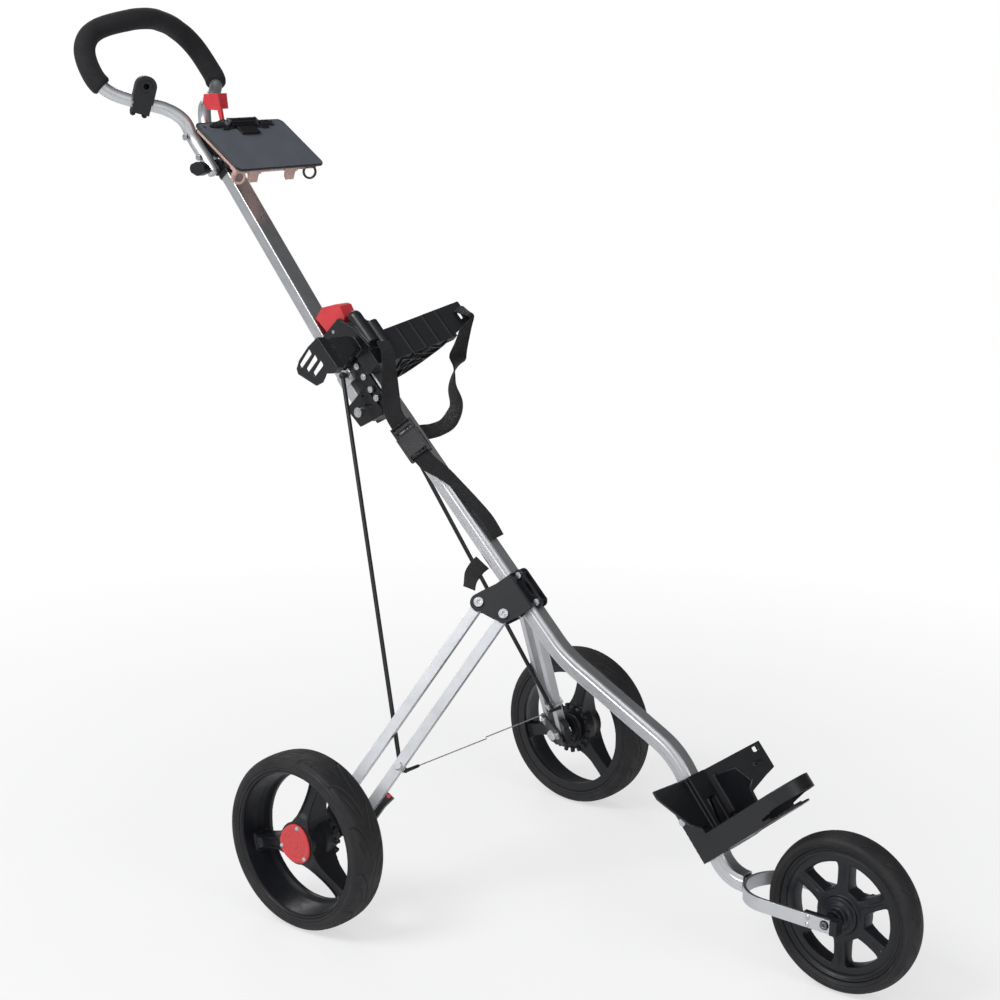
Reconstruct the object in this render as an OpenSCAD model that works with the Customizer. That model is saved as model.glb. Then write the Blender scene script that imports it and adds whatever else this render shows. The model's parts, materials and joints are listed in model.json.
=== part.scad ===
// Folding three-wheel golf push trolley.
// Frame: +X towards the front wheel, +Y to the left, +Z up.
// Origin: on the ground, midway between the two rear wheels.

/* [Rear wheels] */
// Rear wheel diameter over the tread
rear_d = 236; // [230:1:245]
// Width of a rear tyre
rear_w = 54; // [50:1:56]
// Distance from the centre plane to a rear wheel's centre plane
rear_y = 293.5; // [291:0.5:300]
// Radius of the rear axle
axle_r = 6; // [5:0.5:6]

/* [Front wheel] */
// Front wheel diameter over the tread
front_d = 204; // [196:1:208]
// Width of the front tyre
front_w = 38; // [34:1:40]
// Distance from the rear axle line to the front axle
wheelbase = 629; // [624:1:634]
// Outside width of the front fork
fork_w = 100; // [96:1:104]

/* [Main tube] */
// Slope of the upper straight below horizontal, degrees
main_a = 44.3; // [44.3]
// Slope of the middle straight
mid_a = 26.5; // [25:0.5:28]
// Slope of the steep straight
low_a = 60.3; // [58:0.5:62]
// Height of the tube's axis above the ground at the rear axle line
main_z0 = 524.2; // [524.2]
// Width of the tube across the trolley
main_w = 22; // [20:0.5:22]
// Depth of the tube in the centre plane
main_h = 24; // [22:0.5:24]

/* [Upper tube and handle] */
// Slope of the upper tube, degrees
upper_a = 49.4; // [49.4]
// Width of the upper tube
upper_w = 30; // [28:0.5:30]
// Depth of the upper tube
upper_h = 18; // [16:0.5:18]
// Length from the fold hinge to the tube's top end
upper_len = 408; // [400:1:410]
// Diameter of the handle tube
handle_d = 19; // [18:0.5:19]
// Outside diameter of the foam grip
foam_d = 31; // [29:0.5:31]

/* [Rear legs] */
// Distance between a leg bar's two pivots
leg_len = 325; // [325]
// Width of a leg bar in the plane it swings in
bar_w = 14; // [12:0.5:14]
// Thickness of a leg bar
bar_t = 11; // [10:0.5:11]
// Radius of the leg pivot bolts
pivot_r = 4; // [3:0.5:4]
// Radius of a push rod
rod_r = 3; // [2.5:0.25:3.5]
// Radius of the tie cable
cable_r = 0.9; // [0.6:0.1:1]

/* [Console] */
// Width of the score card lid
lid_w = 168; // [160:1:172]
// Length of the lid
lid_l = 106; // [100:1:108]

/* [Hidden] */
$fn = 64;
gap = 0.08;  // radial clearance of a running fit
fit = 0.02;  // radial clearance of a close fit

rear_r = rear_d / 2;
front_r = front_d / 2;
// cross axles as [x, z]
rear_hub = [0, rear_r];
front_hub = [wheelbase, front_r];

// ---------- vectors and frames ----------
function unit(v) = v / norm(v);
// directions along a slope (forwards and down) and square to it (up)
function slope_dir(slope) = [cos(slope), 0, -sin(slope)];
function slope_up(slope) = [sin(slope), 0, cos(slope)];

// main tube frame: x down the tube's upper straight, y left, z up from it
main_origin = [0, 0, main_z0];
across = [0, 1, 0];
main_dir = slope_dir(main_a);
main_up = slope_up(main_a);
function main_point(x, y, z) = main_origin + x * main_dir + y * across + z * main_up;
function main_points(rows) = [for (row = rows) main_point(row[0], row[1], row[2])];
module at_main(x = 0, y = 0, z = 0)
  translate(main_origin) rotate([0, main_a, 0]) translate([x, y, z]) children();

// upper tube frame: x down the tube, origin on the fold hinge
hinge = [-158, 0, 622];
hinge_at = [hinge[0], hinge[2]];
module at_upper() translate(hinge) rotate([0, upper_a, 0]) children();

// right leg plane: x down the main tube, origin on the front bar's upper pivot
leg_start = [178.8, -29.5, -20.7];  // in the main tube frame
leg_roll = 52.1;                    // roll of the plane about the main tube
leg_a = -69.2;                      // direction of the bars in the plane
leg_dir = [cos(leg_a), sin(leg_a)];
leg_side = [-sin(leg_a), cos(leg_a)];
rear_top = [-32.4, -18.5];
front_low = leg_len * leg_dir;
rear_low = rear_top + front_low;
top_pivots = [rear_top, [0, 0]];
low_pivots = [rear_low, front_low];
leg_origin = main_point(leg_start[0], leg_start[1], leg_start[2]);
leg_across = cos(leg_roll) * across + sin(leg_roll) * main_up;
leg_normal = -sin(leg_roll) * across + cos(leg_roll) * main_up;
function leg_point(p, z) =
  leg_origin + p[0] * main_dir + p[1] * leg_across + z * leg_normal;
module at_leg()
  at_main(leg_start[0], leg_start[1], leg_start[2]) rotate([leg_roll, 0, 0]) children();

// ---------- shape helpers ----------
module mirrored() mirror([0, 1, 0]) children();
module pair() {
  children();
  mirrored() children();
}
module rod(start, end, radius) {
  span = end - start;
  length = norm(span);
  translate(start) rotate([0, acos(span[2] / length), atan2(span[1], span[0])])
    cylinder(r = radius, h = length);
}
// cylinder along Y, with its axis at [x, z]
module ybar(y0, y1, radius, at = [0, 0])
  translate([at[0], y1, at[1]]) rotate([90, 0, 0]) cylinder(r = radius, h = y1 - y0);
// cylinder along X from a point
module xbar(start, length, radius)
  translate(start) rotate([0, 90, 0]) cylinder(r = radius, h = length);
// cylinder along Z, with its axis at [x, y]
module post(z, radius, height, at = [0, 0])
  translate([at[0], at[1], z]) cylinder(r = radius, h = height);
module box(low, high) translate(low) cube(high - low);
// prism on [x, z] points, from y0 to y1
module xz(points, y0, y1)
  translate([0, y1, 0]) rotate([90, 0, 0]) linear_extrude(y1 - y0) polygon(points);
// prism on a shape in Y and Z, from x0 to x1
module yz(x0, x1)
  translate([x0, 0, 0]) rotate([90, 0, 90]) linear_extrude(x1 - x0) children();
module rounded_rect(width, height, radius) {
  square([width - 2 * radius, height], center = true);
  square([width, height - 2 * radius], center = true);
  for (x = [-1, 1], y = [-1, 1])
    translate([x * (width / 2 - radius), y * (height / 2 - radius)]) circle(radius);
}

// ---------- paths and sweeps ----------
function rev(list) = [for (i = [len(list) - 1 : -1 : 0]) list[i]];
// the other half of a profile that is symmetric in its second column
function flipped(half) = [for (p = rev(half)) [p[0], -p[1]]];
// Catmull-Rom curve between b and c
function spline(a, b, c, d, t) = 0.5 * (2 * b + (c - a) * t
  + (2 * a - 5 * b + 4 * c - d) * t * t + (3 * b - a - 3 * c + d) * t * t * t);
function smooth(p, steps) = let(n = len(p)) concat(
  [for (i = [0 : n - 2], j = [0 : steps - 1])
    spline(p[max(0, i - 1)], p[i], p[i + 1], p[min(n - 1, i + 2)], j / steps)],
  [p[n - 1]]);
function tangent(path, i) = unit(path[min(len(path) - 1, i + 1)] - path[max(0, i - 1)]);
function circle_points(radius, sides) =
  [for (i = [0 : sides - 1]) radius * [cos(360 * i / sides), sin(360 * i / sides)]];
// a section's points placed at every point of a path
function placed(path, section, ref) = [for (i = [0 : len(path) - 1])
  let(t = tangent(path, i), u = unit(cross(ref, t)), v = cross(t, u))
  for (q = section) path[i] + q[0] * u + q[1] * v];
// side faces between successive rings of `stride` points, round `count` of them from `base`
function quads(rings, stride, count, base = 0) = [for (i = [0 : rings - 2], j = [0 : count - 1])
  let(a = i * stride + base + j, b = i * stride + base + (j + 1) % count)
  [a, b, b + stride, a + stride]];
function end_caps(rings, count) = [
  [for (j = [count - 1 : -1 : 0]) j],
  [for (j = [0 : count - 1]) (rings - 1) * count + j]];

module sweep(path, section, ref) {
  rings = len(path);
  count = len(section);
  polyhedron(placed(path, section, ref),
    concat(end_caps(rings, count), quads(rings, count, count)), 10);
}
module hollow_sweep(path, outer_r, inner_r, sides, ref) {
  rings = len(path);
  stride = 2 * sides;
  last = (rings - 1) * stride;
  section = concat(circle_points(outer_r, sides), circle_points(inner_r, sides));
  polyhedron(placed(path, section, ref), concat(
    [for (j = [0 : sides - 1]) let(k = (j + 1) % sides) [j, sides + j, sides + k, k]],
    [for (j = [0 : sides - 1]) let(k = (j + 1) % sides)
      [last + j, last + k, last + sides + k, last + sides + j]],
    quads(rings, stride, sides),
    [for (q = quads(rings, stride, sides, sides)) [q[1], q[0], q[3], q[2]]]), 10);
}

// ---------- main tube ----------
half_h = main_h / 2;
half_w = main_w / 2;
// half of the tube's section, with a rib on its side: [depth, across]
half_out = [
  [half_h, half_w - 3.5], [half_h - 1, half_w - 1], [half_h - 3.5, half_w],
  [5, half_w], [3.6, half_w + 1], [-3.6, half_w + 1], [-5, half_w],
  [3.5 - half_h, half_w], [1 - half_h, half_w - 1], [-half_h, half_w - 3.5]];
half_in = [
  [half_h - 2.2, half_w - 4.6], [half_h - 4.6, half_w - 2.2],
  [4.6 - half_h, half_w - 2.2], [2.2 - half_h, half_w - 4.6]];
function turned(half) = concat(half, [for (p = half) -p]);
function grown(points, margin) =
  [for (p = points) [p[0] * (1 + margin / half_h), p[1] * (1 + margin / half_w)]];
// thinning is how far the wall's two faces move into the wall
module main_section(thinning = 0) difference() {
  polygon(turned(grown(half_out, -thinning)));
  polygon(turned(grown(half_in, thinning)));
}

fork_z = 101;          // height of the fork and of the tube's front end
foot = [418, 0, 175];  // a point on the axis of the steep straight
corner1 = let(x = 192.5) [x, 0, main_z0 - x * tan(main_a)];
corner2 =
  let(rise = foot[2] + foot[0] * tan(low_a) - corner1[2] - corner1[0] * tan(mid_a),
    x = rise / (tan(low_a) - tan(mid_a)))
  [x, 0, corner1[2] - (x - corner1[0]) * tan(mid_a)];
corner3 = [foot[0] + (foot[2] - fork_z) / tan(low_a), 0, fork_z];
// bends of the tube's axis: corner, slope in, slope out, radius
bends = [
  [corner1, main_a, mid_a, 170],
  [corner2, mid_a, low_a, 110],
  [corner3, low_a, 0, 48]];
function setback(b) = b[3] * tan(abs(b[1] - b[2]) / 2);
function bend_start(b) = b[0] - setback(b) * slope_dir(b[1]);
function bend_end(b) = b[0] + setback(b) * slope_dir(b[2]);

module straight(start, end) {
  span = end - start;
  translate(start) rotate([0, atan2(-span[2], span[0]), 0]) rotate([90, 0, 90])
    linear_extrude(norm(span)) rotate(90) children();
}
// sweeps a section round a bend, running over by some degrees at both ends
module bend(b, overrun) {
  flattens = b[1] > b[2];
  centre = bend_start(b) + (flattens ? b[3] : -b[3]) * slope_up(b[1]);
  first = flattens ? 270 - b[1] : 90 - b[2];
  translate(centre) rotate([90, 0, 0]) rotate([0, 0, first - overrun])
    rotate_extrude(angle = abs(b[1] - b[2]) + 2 * overrun, $fn = 96)
      translate([b[3], 0]) children();
}

// bolts through the tube's top end, as x in the main tube frame
side_bolt_x = [-230, -212, -190, -175];
module side_bolt_holes() for (x = side_bolt_x) at_main(x) ybar(-30, 30, 2.6);

module main_tube() color("gainsboro") difference() {
  union() {
    straight(main_point(-238, 0, 0), bend_start(bends[0])) main_section();
    for (i = [0, 1])
      straight(bend_end(bends[i]), bend_start(bends[i + 1])) main_section();
    for (b = bends) bend(b, 0.4) main_section(0.06);
  }
  side_bolt_holes();
}

// ---------- front fork and wheel ----------
fork_x = 541;  // centre of the fork's round
fork_h = 17.5;
fork_t = 4;
fork_in = fork_w / 2 - fork_t;
rivets = [for (z = [-5, 5]) [606, fork_z + z]];  // [x, z]

module front_fork() color("silver") difference() {
  union() {
    translate([0, 0, fork_z - fork_h / 2]) linear_extrude(fork_h) difference() {
      union() {
        translate([fork_x, 0]) circle(r = fork_w / 2, $fn = 128);
        translate([fork_x, -fork_w / 2]) square([96, fork_w]);
      }
      translate([fork_x, 0]) circle(r = fork_in, $fn = 128);
      translate([fork_x, -fork_in]) square([120, 2 * fork_in]);
    }
    // plate between the fork and the end of the tube
    translate([fork_x - fork_w / 2 + 1, 0, fork_z]) rotate([0, -90, 0])
      linear_extrude(3) rounded_rect(16, 15, 2);
  }
  for (at = rivets) ybar(-60, 60, 2, at);
  ybar(-60, 60, 6, front_hub);
}
module fork_end_blocks() color("dimgray") pair() difference() {
  union() {
    box([597, 38, fork_z - 8], [645, fork_in, fork_z + 8.5]);
    box([637.2, 38, fork_z - 9], [646.7, 52, fork_z + 9.5]);
    ybar(34, 46, 9, front_hub);
  }
  ybar(20, 60, 4 + gap, front_hub);
  for (at = rivets) ybar(20, 60, 2, at);
}
module fork_rivets() color("lightgray") pair() for (at = rivets) {
  ybar(38.5, 50, 1.95, at);
  translate([at[0], 50, at[1]]) rotate([-90, 0, 0])
    cylinder(r1 = 3.6, r2 = 2, h = 1.6, $fn = 32);
}
module front_axle() color("silver") {
  ybar(-57, 57, 4, front_hub);
  pair() ybar(50.2, 58.5, 7.4, front_hub, $fn = 6);
}
module at_front_wheel() translate([wheelbase, 0, front_r]) rotate([90, 0, 0]) children();
module front_tyre() color("dimgray") {
  side = front_w / 2;
  // [radius, across]
  half = [
    [front_r - 17, -side + 5], [front_r - 13, -side + 1.4], [front_r - 8, -side],
    [front_r - 4.5, -side + 3], [front_r - 1.2, -side + 9]];
  at_front_wheel() rotate_extrude($fn = 128)
    polygon(concat(half, [[front_r, 0]], flipped(half)));
}
module front_rim() color("dimgray") at_front_wheel() difference() {
  half = [[front_r - 25, -5], [front_r - 21, -12], [front_r - 17.2, -12]];
  union() {
    rotate_extrude($fn = 128) polygon(concat(half, flipped(half)));
    cylinder(r = 23, h = 26, center = true);
    cylinder(r = 11, h = 60, center = true);
    for (i = [0 : 5])
      rotate([0, 0, 60 * i + 20]) translate([20, -7, -6]) cube([front_r - 42, 14, 12]);
  }
  cylinder(r = 4 + gap, h = 80, center = true);
}

// ---------- middle bracket ----------
clamp_x = 139;  // upper end of the clamp on the main tube
clamp_len = 54;
clamp_bolt_x = [147, 191];
clamp_bolt_z = 20;
// pairs of plates on either side of the leg bars
plate_in = 5.9;
plate_t = 3;
plate_out = plate_in + plate_t;
plate_zs = [plate_in, -plate_out];

module bracket_clamp() at_main(clamp_x) {
  box([0, -15, -12], [clamp_len, -12.3, 15.3]);
  box([0, -15, 12.4], [clamp_len, -3, 15.3]);
  box([0, -5.6, 12.4], [clamp_len, -3, 20]);
  box([8, -5.6, 12.4], [52, -3, 27]);
  for (x = clamp_bolt_x) ybar(-5.6, -3, 8, [x - clamp_x, 19]);
  for (z = [-8, -3.5]) xbar([0, -15, z], clamp_len, 1.3, $fn = 24);
}
module bracket_plates() at_leg() {
  for (z = plate_zs) translate([0, 0, z]) linear_extrude(plate_t) union() {
    translate(rear_top) circle(r = 12);
    circle(r = 12);
    polygon([rear_top + [-12, 0], rear_top + [-2, -11.8], [2, -11.8], [12, 0],
      [14.2, 14], [-39.8, 14], [-43, -6]]);
    if (z > 0) polygon([[-39.8, 12], [14.2, 12], [14.2, 36], [-39.8, 36]]);
  }
  translate([-39.8, 12.2, -plate_out]) cube([54, 2.6, 17]);
}
module bracket_half() difference() {
  union() {
    bracket_clamp();
    bracket_plates();
  }
  // room for the tube, and for the other half
  at_main() box([100, -12.25, -13], [240, 12.25, 12.35]);
  at_main() box([100, -2.98, -40], [240, 30, 60]);
  at_leg() for (at = top_pivots) post(-20, pivot_r + fit, 40, at);
  for (x = clamp_bolt_x) at_main(x, 0, clamp_bolt_z) ybar(-20, 20, 3 + fit);
  // lens-shaped window in the upright flange
  at_main(169, 0, 20.5) rotate([90, 0, 0]) intersection_for(k = [-1, 1])
    translate([0, k * 20, 0]) cylinder(r = 23.5, h = 40, center = true);
}
module bracket_half_right() color("#26272b") bracket_half();
module bracket_half_left() color("#26272b") mirrored() bracket_half();
module bracket_bolts() color("silver")
  for (x = clamp_bolt_x) at_main(x, 0, clamp_bolt_z) {
    ybar(-6, 6, 3);
    ybar(-9.4, -5.7, 4.5);
    ybar(5.7, 9.4, 4.6, $fn = 6);
  }
module leg_bolt() difference() {
  union() {
    post(-12.5, pivot_r, 22);
    post(9, 6.4, 3.4);
    post(-12.6, 7, 3.6, $fn = 6);
  }
  post(10.4, 2.6, 4, $fn = 6);
}
module leg_pivot_bolts() color("silver")
  pair() at_leg() for (at = top_pivots) translate(at) leg_bolt();

// ---------- rear legs ----------
rod_along = 243.5;  // push rod bolt, measured down the front bar
cable_off = 11.2;   // tie cable's end, beside that bolt

module leg_bar(rod_hole = false) difference() {
  union() {
    translate([0, -bar_w / 2, -bar_t / 2]) cube([leg_len, bar_w, bar_t]);
    for (x = [0, leg_len]) post(-bar_t / 2, bar_w / 2, bar_t, [x, 0]);
  }
  translate([14, -bar_w / 2 + 1.6, -bar_t / 2 + 1.6])
    cube([leg_len - 28, bar_w - 3.2, bar_t - 3.2]);
  for (x = [0, leg_len]) post(-20, pivot_r + gap, 40, [x, 0]);
  if (rod_hole) post(-20, 3 + fit, 40, [rod_along, 0]);
}
// open socket for the ball on the tie cable's end
module cable_socket() difference() {
  union() {
    sphere(r = 4.7);
    translate([-3, -4.4, -3]) cube([6, 2.2, 6]);
  }
  sphere(r = 3.3);
  translate([-10, -1.2, -10]) cube(20);
}
module rod_bolt() {
  post(-14.2, 3, 22);
  post(5.5, 5.6, 4.2, $fn = 6);
  post(-15, 4.6, 1.6);
}
module leg_front() at_leg() rotate([0, 0, leg_a]) {
  leg_bar(true);
  translate([rod_along, cable_off, 0]) cable_socket();
  translate([rod_along, 0, 0]) rod_bolt();
}
module leg_rear() at_leg() translate(rear_top) rotate([0, 0, leg_a]) leg_bar();
module leg_bar_front_right() color("gainsboro") leg_front();
module leg_bar_rear_right() color("gainsboro") leg_rear();
module leg_bar_front_left() color("gainsboro") mirrored() leg_front();
module leg_bar_rear_left() color("gainsboro") mirrored() leg_rear();

// ---------- wheel carrier ----------
// places in the leg plane
hub_spot = [104, -346];
tab_spot = [129, -309];

module carrier_outline() {
  for (at = low_pivots) translate(at) circle(r = 11.5);
  translate(hub_spot) circle(r = 15);
  translate(tab_spot) circle(r = 6.5);
  polygon([tab_spot + [4, 5.1], tab_spot + [5.5, -3.5], hub_spot + [14, 3], front_low]);
  polygon([rear_low + [-8, 8.2], front_low + [-4, 10.8], front_low + [10.5, -4.6],
    hub_spot + [13, 7.4], hub_spot + [-7, -13.2], hub_spot + [-14.5, -3.8],
    rear_low + [-11, -3.2]]);
}
module carrier() difference() {
  union() {
    at_leg() {
      for (z = plate_zs) translate([0, 0, z]) linear_extrude(plate_t) carrier_outline();
      post(-plate_out, 12, 2 * plate_out, hub_spot);
    }
    ybar(-262.6, -231, 12, rear_hub);
    ybar(-262.6, -256, 24, rear_hub);
  }
  at_leg() {
    for (at = low_pivots) {
      post(-20, pivot_r + fit, 40, at);
      post(-plate_in, 11.7, 2 * plate_in, at);
    }
    post(-20, 2.5 + gap, 40, tab_spot);
  }
  ybar(-280, -200, axle_r + fit, rear_hub);
  ybar(-230.95, -200, 8.4, rear_hub);
}
module carrier_pin() difference() {
  union() {
    post(-12.2, pivot_r, 21.2);
    post(8.95, 6, 2.8);
    post(-12.3, 6, 3.3);
  }
  post(-13, 2.4, 2.4, $fn = 6);
}
module carrier_pins() at_leg() for (at = low_pivots) translate(at) carrier_pin();
module rear_axle() {
  ybar(-308, -226, axle_r, rear_hub);
  ybar(-308, -305.2, 9.5, rear_hub);
  ybar(-230.9, -226, 8, rear_hub);
}
module release_tab() at_leg() {
  post(-9, 2.5, 18, tab_spot);
  post(-5.5, 5, 11, tab_spot);
  translate([0, 0, -4.5]) linear_extrude(9)
    polygon([tab_spot + [-4.2, 2.2], tab_spot + [4.4, 1.8],
      [120.6, -272], [118, -256], [107.6, -258], [111, -268]]);
}
module wheel_carrier_right() color("#1d1e21") carrier();
module wheel_carrier_left() color("#1d1e21") mirrored() carrier();
module carrier_pins_right() color("silver") carrier_pins();
module carrier_pins_left() color("silver") mirrored() carrier_pins();
module rear_axle_right() color("silver") rear_axle();
module rear_axle_left() color("silver") mirrored() rear_axle();
module release_tab_right() color("#e2444a") release_tab();
module release_tab_left() color("#e2444a") mirrored() release_tab();

// ---------- rear wheel ----------
// right wheel frame: z points to the inside along -Y turned outwards, away from the centre plane
module at_wheel() translate([0, -rear_y, rear_r]) rotate([90, 0, 0]) children();
module thirds() for (i = [0 : 2]) rotate([0, 0, 77 + 120 * i]) children();
cap_screw_at = [23.5, 0];
side_w = rear_w / 2;
// half of the tyre's section: [radius, across]
tyre_half = [
  [99, -side_w + 1.6], [104, -side_w + 0.3], [109, -side_w], [113.6, -side_w + 2.6],
  [rear_r - 1.6, -side_w + 8], [rear_r, -8]];
// rim section: [radius, across]
rim_points = [
  [98.9, -24.5], [98.9, 25], [97, 25], [94.5, 21], [92.5, 0], [90, -12], [86, -17],
  [86, -24.5]];
// one side of a spoke: [radius, across]
spoke_half = [[15, -17], [40, -12], [62, -10.5], [88, -13]];

module rear_tyre()
  at_wheel() rotate_extrude($fn = 128) polygon(concat(tyre_half, flipped(tyre_half)));
module rear_rim() at_wheel() difference() {
  union() {
    rotate_extrude($fn = 128) polygon(rim_points);
    cylinder(r1 = 30, r2 = 24, h = 18);
    post(16, 28.6, 2.4);
    post(-22, 33, 22);
    post(-26, 20, 8);
    thirds() translate([0, 0, -19]) linear_extrude(13)
      polygon(concat(spoke_half, flipped(spoke_half)));
    for (i = [0 : 17]) rotate([0, 0, 20 * i]) translate([30, -3, -25]) cube([8, 6, 6]);
  }
  post(-40, axle_r + gap, 80);
  post(10.5, 11, 10);
  thirds() post(10, 1.6, 12, cap_screw_at, $fn = 24);
}
module hub_cap() at_wheel() difference() {
  union() {
    post(18.45, 29.4, 2.2);
    translate([0, 0, 20.6]) cylinder(r1 = 29.4, r2 = 27.6, h = 1.4);
  }
  thirds() post(0, 1.62, 40, cap_screw_at, $fn = 24);
}
module cap_screws() at_wheel() thirds() {
  post(11, 1.5, 11.2, cap_screw_at, $fn = 24);
  translate([cap_screw_at[0], 0, 22.05]) cylinder(r1 = 3.2, r2 = 2.4, h = 1.2, $fn = 32);
}
module rear_rim_right() color("dimgray") rear_rim();
module rear_rim_left() color("dimgray") mirrored() rear_rim();
module rear_tyre_right() color("#3c3d42") rear_tyre();
module rear_tyre_left() color("#3c3d42") mirrored() rear_tyre();
module hub_cap_right() color("#e0494f") hub_cap();
module hub_cap_left() color("#e0494f") mirrored() hub_cap();
module cap_screws_right() color("silver") cap_screws();
module cap_screws_left() color("silver") mirrored() cap_screws();

// ---------- push rods and tie cable ----------
rod_low = leg_point(rod_along * leg_dir, -9.5);
rod_top = hinge + 54.7 * [cos(115), 0, sin(115)] - [0, 28, 0];
cable_end = leg_point(rod_along * leg_dir + cable_off * leg_side, 0);

module at_rod_eye()
  translate(rod_low) rotate([0, main_a, 0]) rotate([leg_roll, 0, 0]) children();
module push_rod() {
  dir = unit(rod_top - rod_low);
  rod(rod_low + 4 * dir, rod_top - 4 * dir, rod_r);
  difference() {
    union() {
      at_rod_eye() post(-2.2, 7, 4.4);
      rod(rod_low, rod_low + 12 * dir, 2.1);
    }
    at_rod_eye() post(-10, 3.25, 20);
  }
  translate(rod_top) sphere(r = 5.2);
}
module push_rod_right() color("#202124") push_rod();
module push_rod_left() color("#202124") mirrored() push_rod();
// the two halves pass each other at the middle, shifted opposite ways
module tie_cable(shift) {
  middle = [cable_end[0] + shift, -0.15, cable_end[2] - shift];
  dir = unit(middle - cable_end);
  rod(cable_end, middle, cable_r);
  rod(cable_end + 6 * dir, cable_end + 26 * dir, 2.3);
  translate(cable_end) sphere(r = 3);
}
module tie_cable_right() color("gray") tie_cable(0.85);
module tie_cable_left() color("gray") mirrored() tie_cable(-0.85);

// ---------- upper tube and fold hinge ----------
module upper_tube() color("gainsboro") {
  at_upper() difference() {
    union() {
      yz(-upper_len, 0) rounded_rect(upper_w, upper_h, 2);
      ybar(-upper_w / 2, upper_w / 2, upper_h / 2);
    }
    yz(-upper_len - 1, -26) rounded_rect(upper_w - 3.2, upper_h - 3.2, 1);
    ybar(-30, 30, pivot_r + gap);
  }
  // lugs that drive the push rods
  pair() ybar(14.9, 22.4, 6.8, [rod_top[0], rod_top[2]]);
  at_upper() pair() box([-59, 14.9, -6], [-41, 19, 22]);
}
module hinge_side() difference() {
  at_main() {
    xz([[-242, -9], [-242, 9], [-168, 9], [-160, 1], [-164, -12], [-196, -12]],
      -15.6, -12.3);
    xz([[-200, -8], [-200, -52], [-190, -56], [-166, -54], [-152, -10], [-158, -4]],
      -19, -15.6);
    // spacer under the main tube
    box([-170, -19, -24], [-157, 0, -12.6]);
    box([-164, -15.8, -32], [-158, 0, -20]);
  }
  side_bolt_holes();
  ybar(-40, 40, pivot_r + fit, hinge_at);
  for (k = [0, 1]) at_main(-190 + 12 * k, 0, -16 - 4 * k)
    rotate([0, 45, 0]) box([-1.6, -30, -6], [1.6, -10, 6]);
}
module hinge_plates() color("#1f2024") difference() {
  pair() hinge_side();
  ybar(-15.5, 15.5, 11.5, hinge_at);
  at_upper() box([-60, -15.5, -10], [0, 15.5, 10]);
}
module hinge_pin() color("silver") {
  ybar(-21, 21, pivot_r, hinge_at);
  pair() ybar(19.05, 23, 7, hinge_at);
}
// the two lower bolts also go through the hinge's outer plates
module side_bolts() color("silver") for (x = side_bolt_x) at_main(x) {
  ybar(-19.5, 19.5, 2.5);
  if (x > -200) pair() ybar(19.05, 21.5, 4.6);
  else pair() ybar(15.65, 18.2, 4.6);
}

// ---------- upper cradle ----------
module cradle_housing() {
  pair() xz([[-298, -30], [-298, 24], [-268, 39], [-231, 43], [-206, 11], [-246, 13],
    [-250, -12], [-250, -30]], -22, -15.8);
  box([-268, -22, 30], [-231, 22, 40]);
  box([-281, -22, 22], [-243, 22, 34]);
  box([-243, -21, 13], [-206, 21, 38]);
}
module left_web() polygon([[14, 40], [60, 55], [150, 84], [152, 80], [146, 76], [100, 54],
  [62, 30], [40, 14], [14, 13]]);
module cradle_left_arm() {
  difference() {
    yz(-256, -206)
      polygon([[14, 40], [60, 55], [150, 84.5], [153, 81], [150, 78.5], [60, 49], [14, 33]]);
    translate([-206, 153, 0]) linear_extrude(200) polygon([[-18, 1], [1, 1], [1, -49]]);
  }
  yz(-256, -252) left_web();
  yz(-232, -229) left_web();
  yz(-209, -206) intersection() {
    left_web();
    translate([0, -50]) square([118, 200]);
  }
  for (y = [44, 66, 88, 110])
    xbar([-255, y, 39.6 + 0.326 * (y - 14)], 48, 1.5, $fn = 24);
}
module cradle_right_arm() {
  intersection() {
    yz(-262, -182) polygon([[-18, -14], [-18, 26], [-50, 44], [-90, 60], [-125, 73],
      [-150, 81], [-153, 78], [-150, 74], [-125, 66], [-90, 52], [-58, 34], [-34, 12],
      [-24, -14]]);
    linear_extrude(300, center = true) polygon([[-262, -17], [-232, -153], [-182, -153],
      [-186, -134], [-240, -30], [-238, -17]]);
  }
  intersection() {
    box([-234, -153, 60], [-182, -137, 85]);
    yz(-240, -180) polygon([[-137, 82], [-153, 85], [-153, 72], [-137, 70]]);
  }
  box([-262, -24, -12], [-242, -15.8, 24]);
}
module cradle_barrels() {
  xbar([-284, -9, 41], 46, 10);
  translate([-284, -9, 41]) sphere(r = 9.9);
  xbar([-270, 10, 42], 42, 10);
}
// slotted wing at the end of the right arm
module cradle_wing() difference() {
  xz([[-234, 84], [-236, 62], [-234, 36], [-229, 24], [-222, 21], [-190, 36], [-186, 48],
    [-190, 62], [-182, 72], [-182, 84]], -153.4, -150);
  for (k = [0, 1, 2]) translate([-227 + 12 * k, -140, 46 + 3 * k])
    rotate([90, 0, 0]) rotate([0, 0, 8]) linear_extrude(20)
      polygon([[-4, 16], [-4.5, -14 + 3 * k], [1.5, -15 + 3 * k], [4, 14]]);
}
latch_x = -290;  // latch pin in the main tube frame
latch_z = 4;
module upper_cradle() color("#2a2b30") difference() {
  at_main() {
    cradle_housing();
    cradle_left_arm();
    cradle_right_arm();
    cradle_barrels();
    cradle_wing();
  }
  at_main() {
    for (x = [-231, -217]) box([x, -125, 40], [x + 10, -117, 90]);
    // room for the main tube and the hinge plates
    box([-250, -12.3, -40], [-150, 12.3, 12.6]);
    box([-250, -19.5, -40], [-150, 19.5, 12.9]);
    box([-240, 138, 60], [-228, 146, 100]);
  }
  at_main(latch_x, 0, latch_z) ybar(-40, 40, 2.5 + fit);
  at_upper() box([-200, -15.5, -60], [0, 15.5, 9.4]);
}
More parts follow.
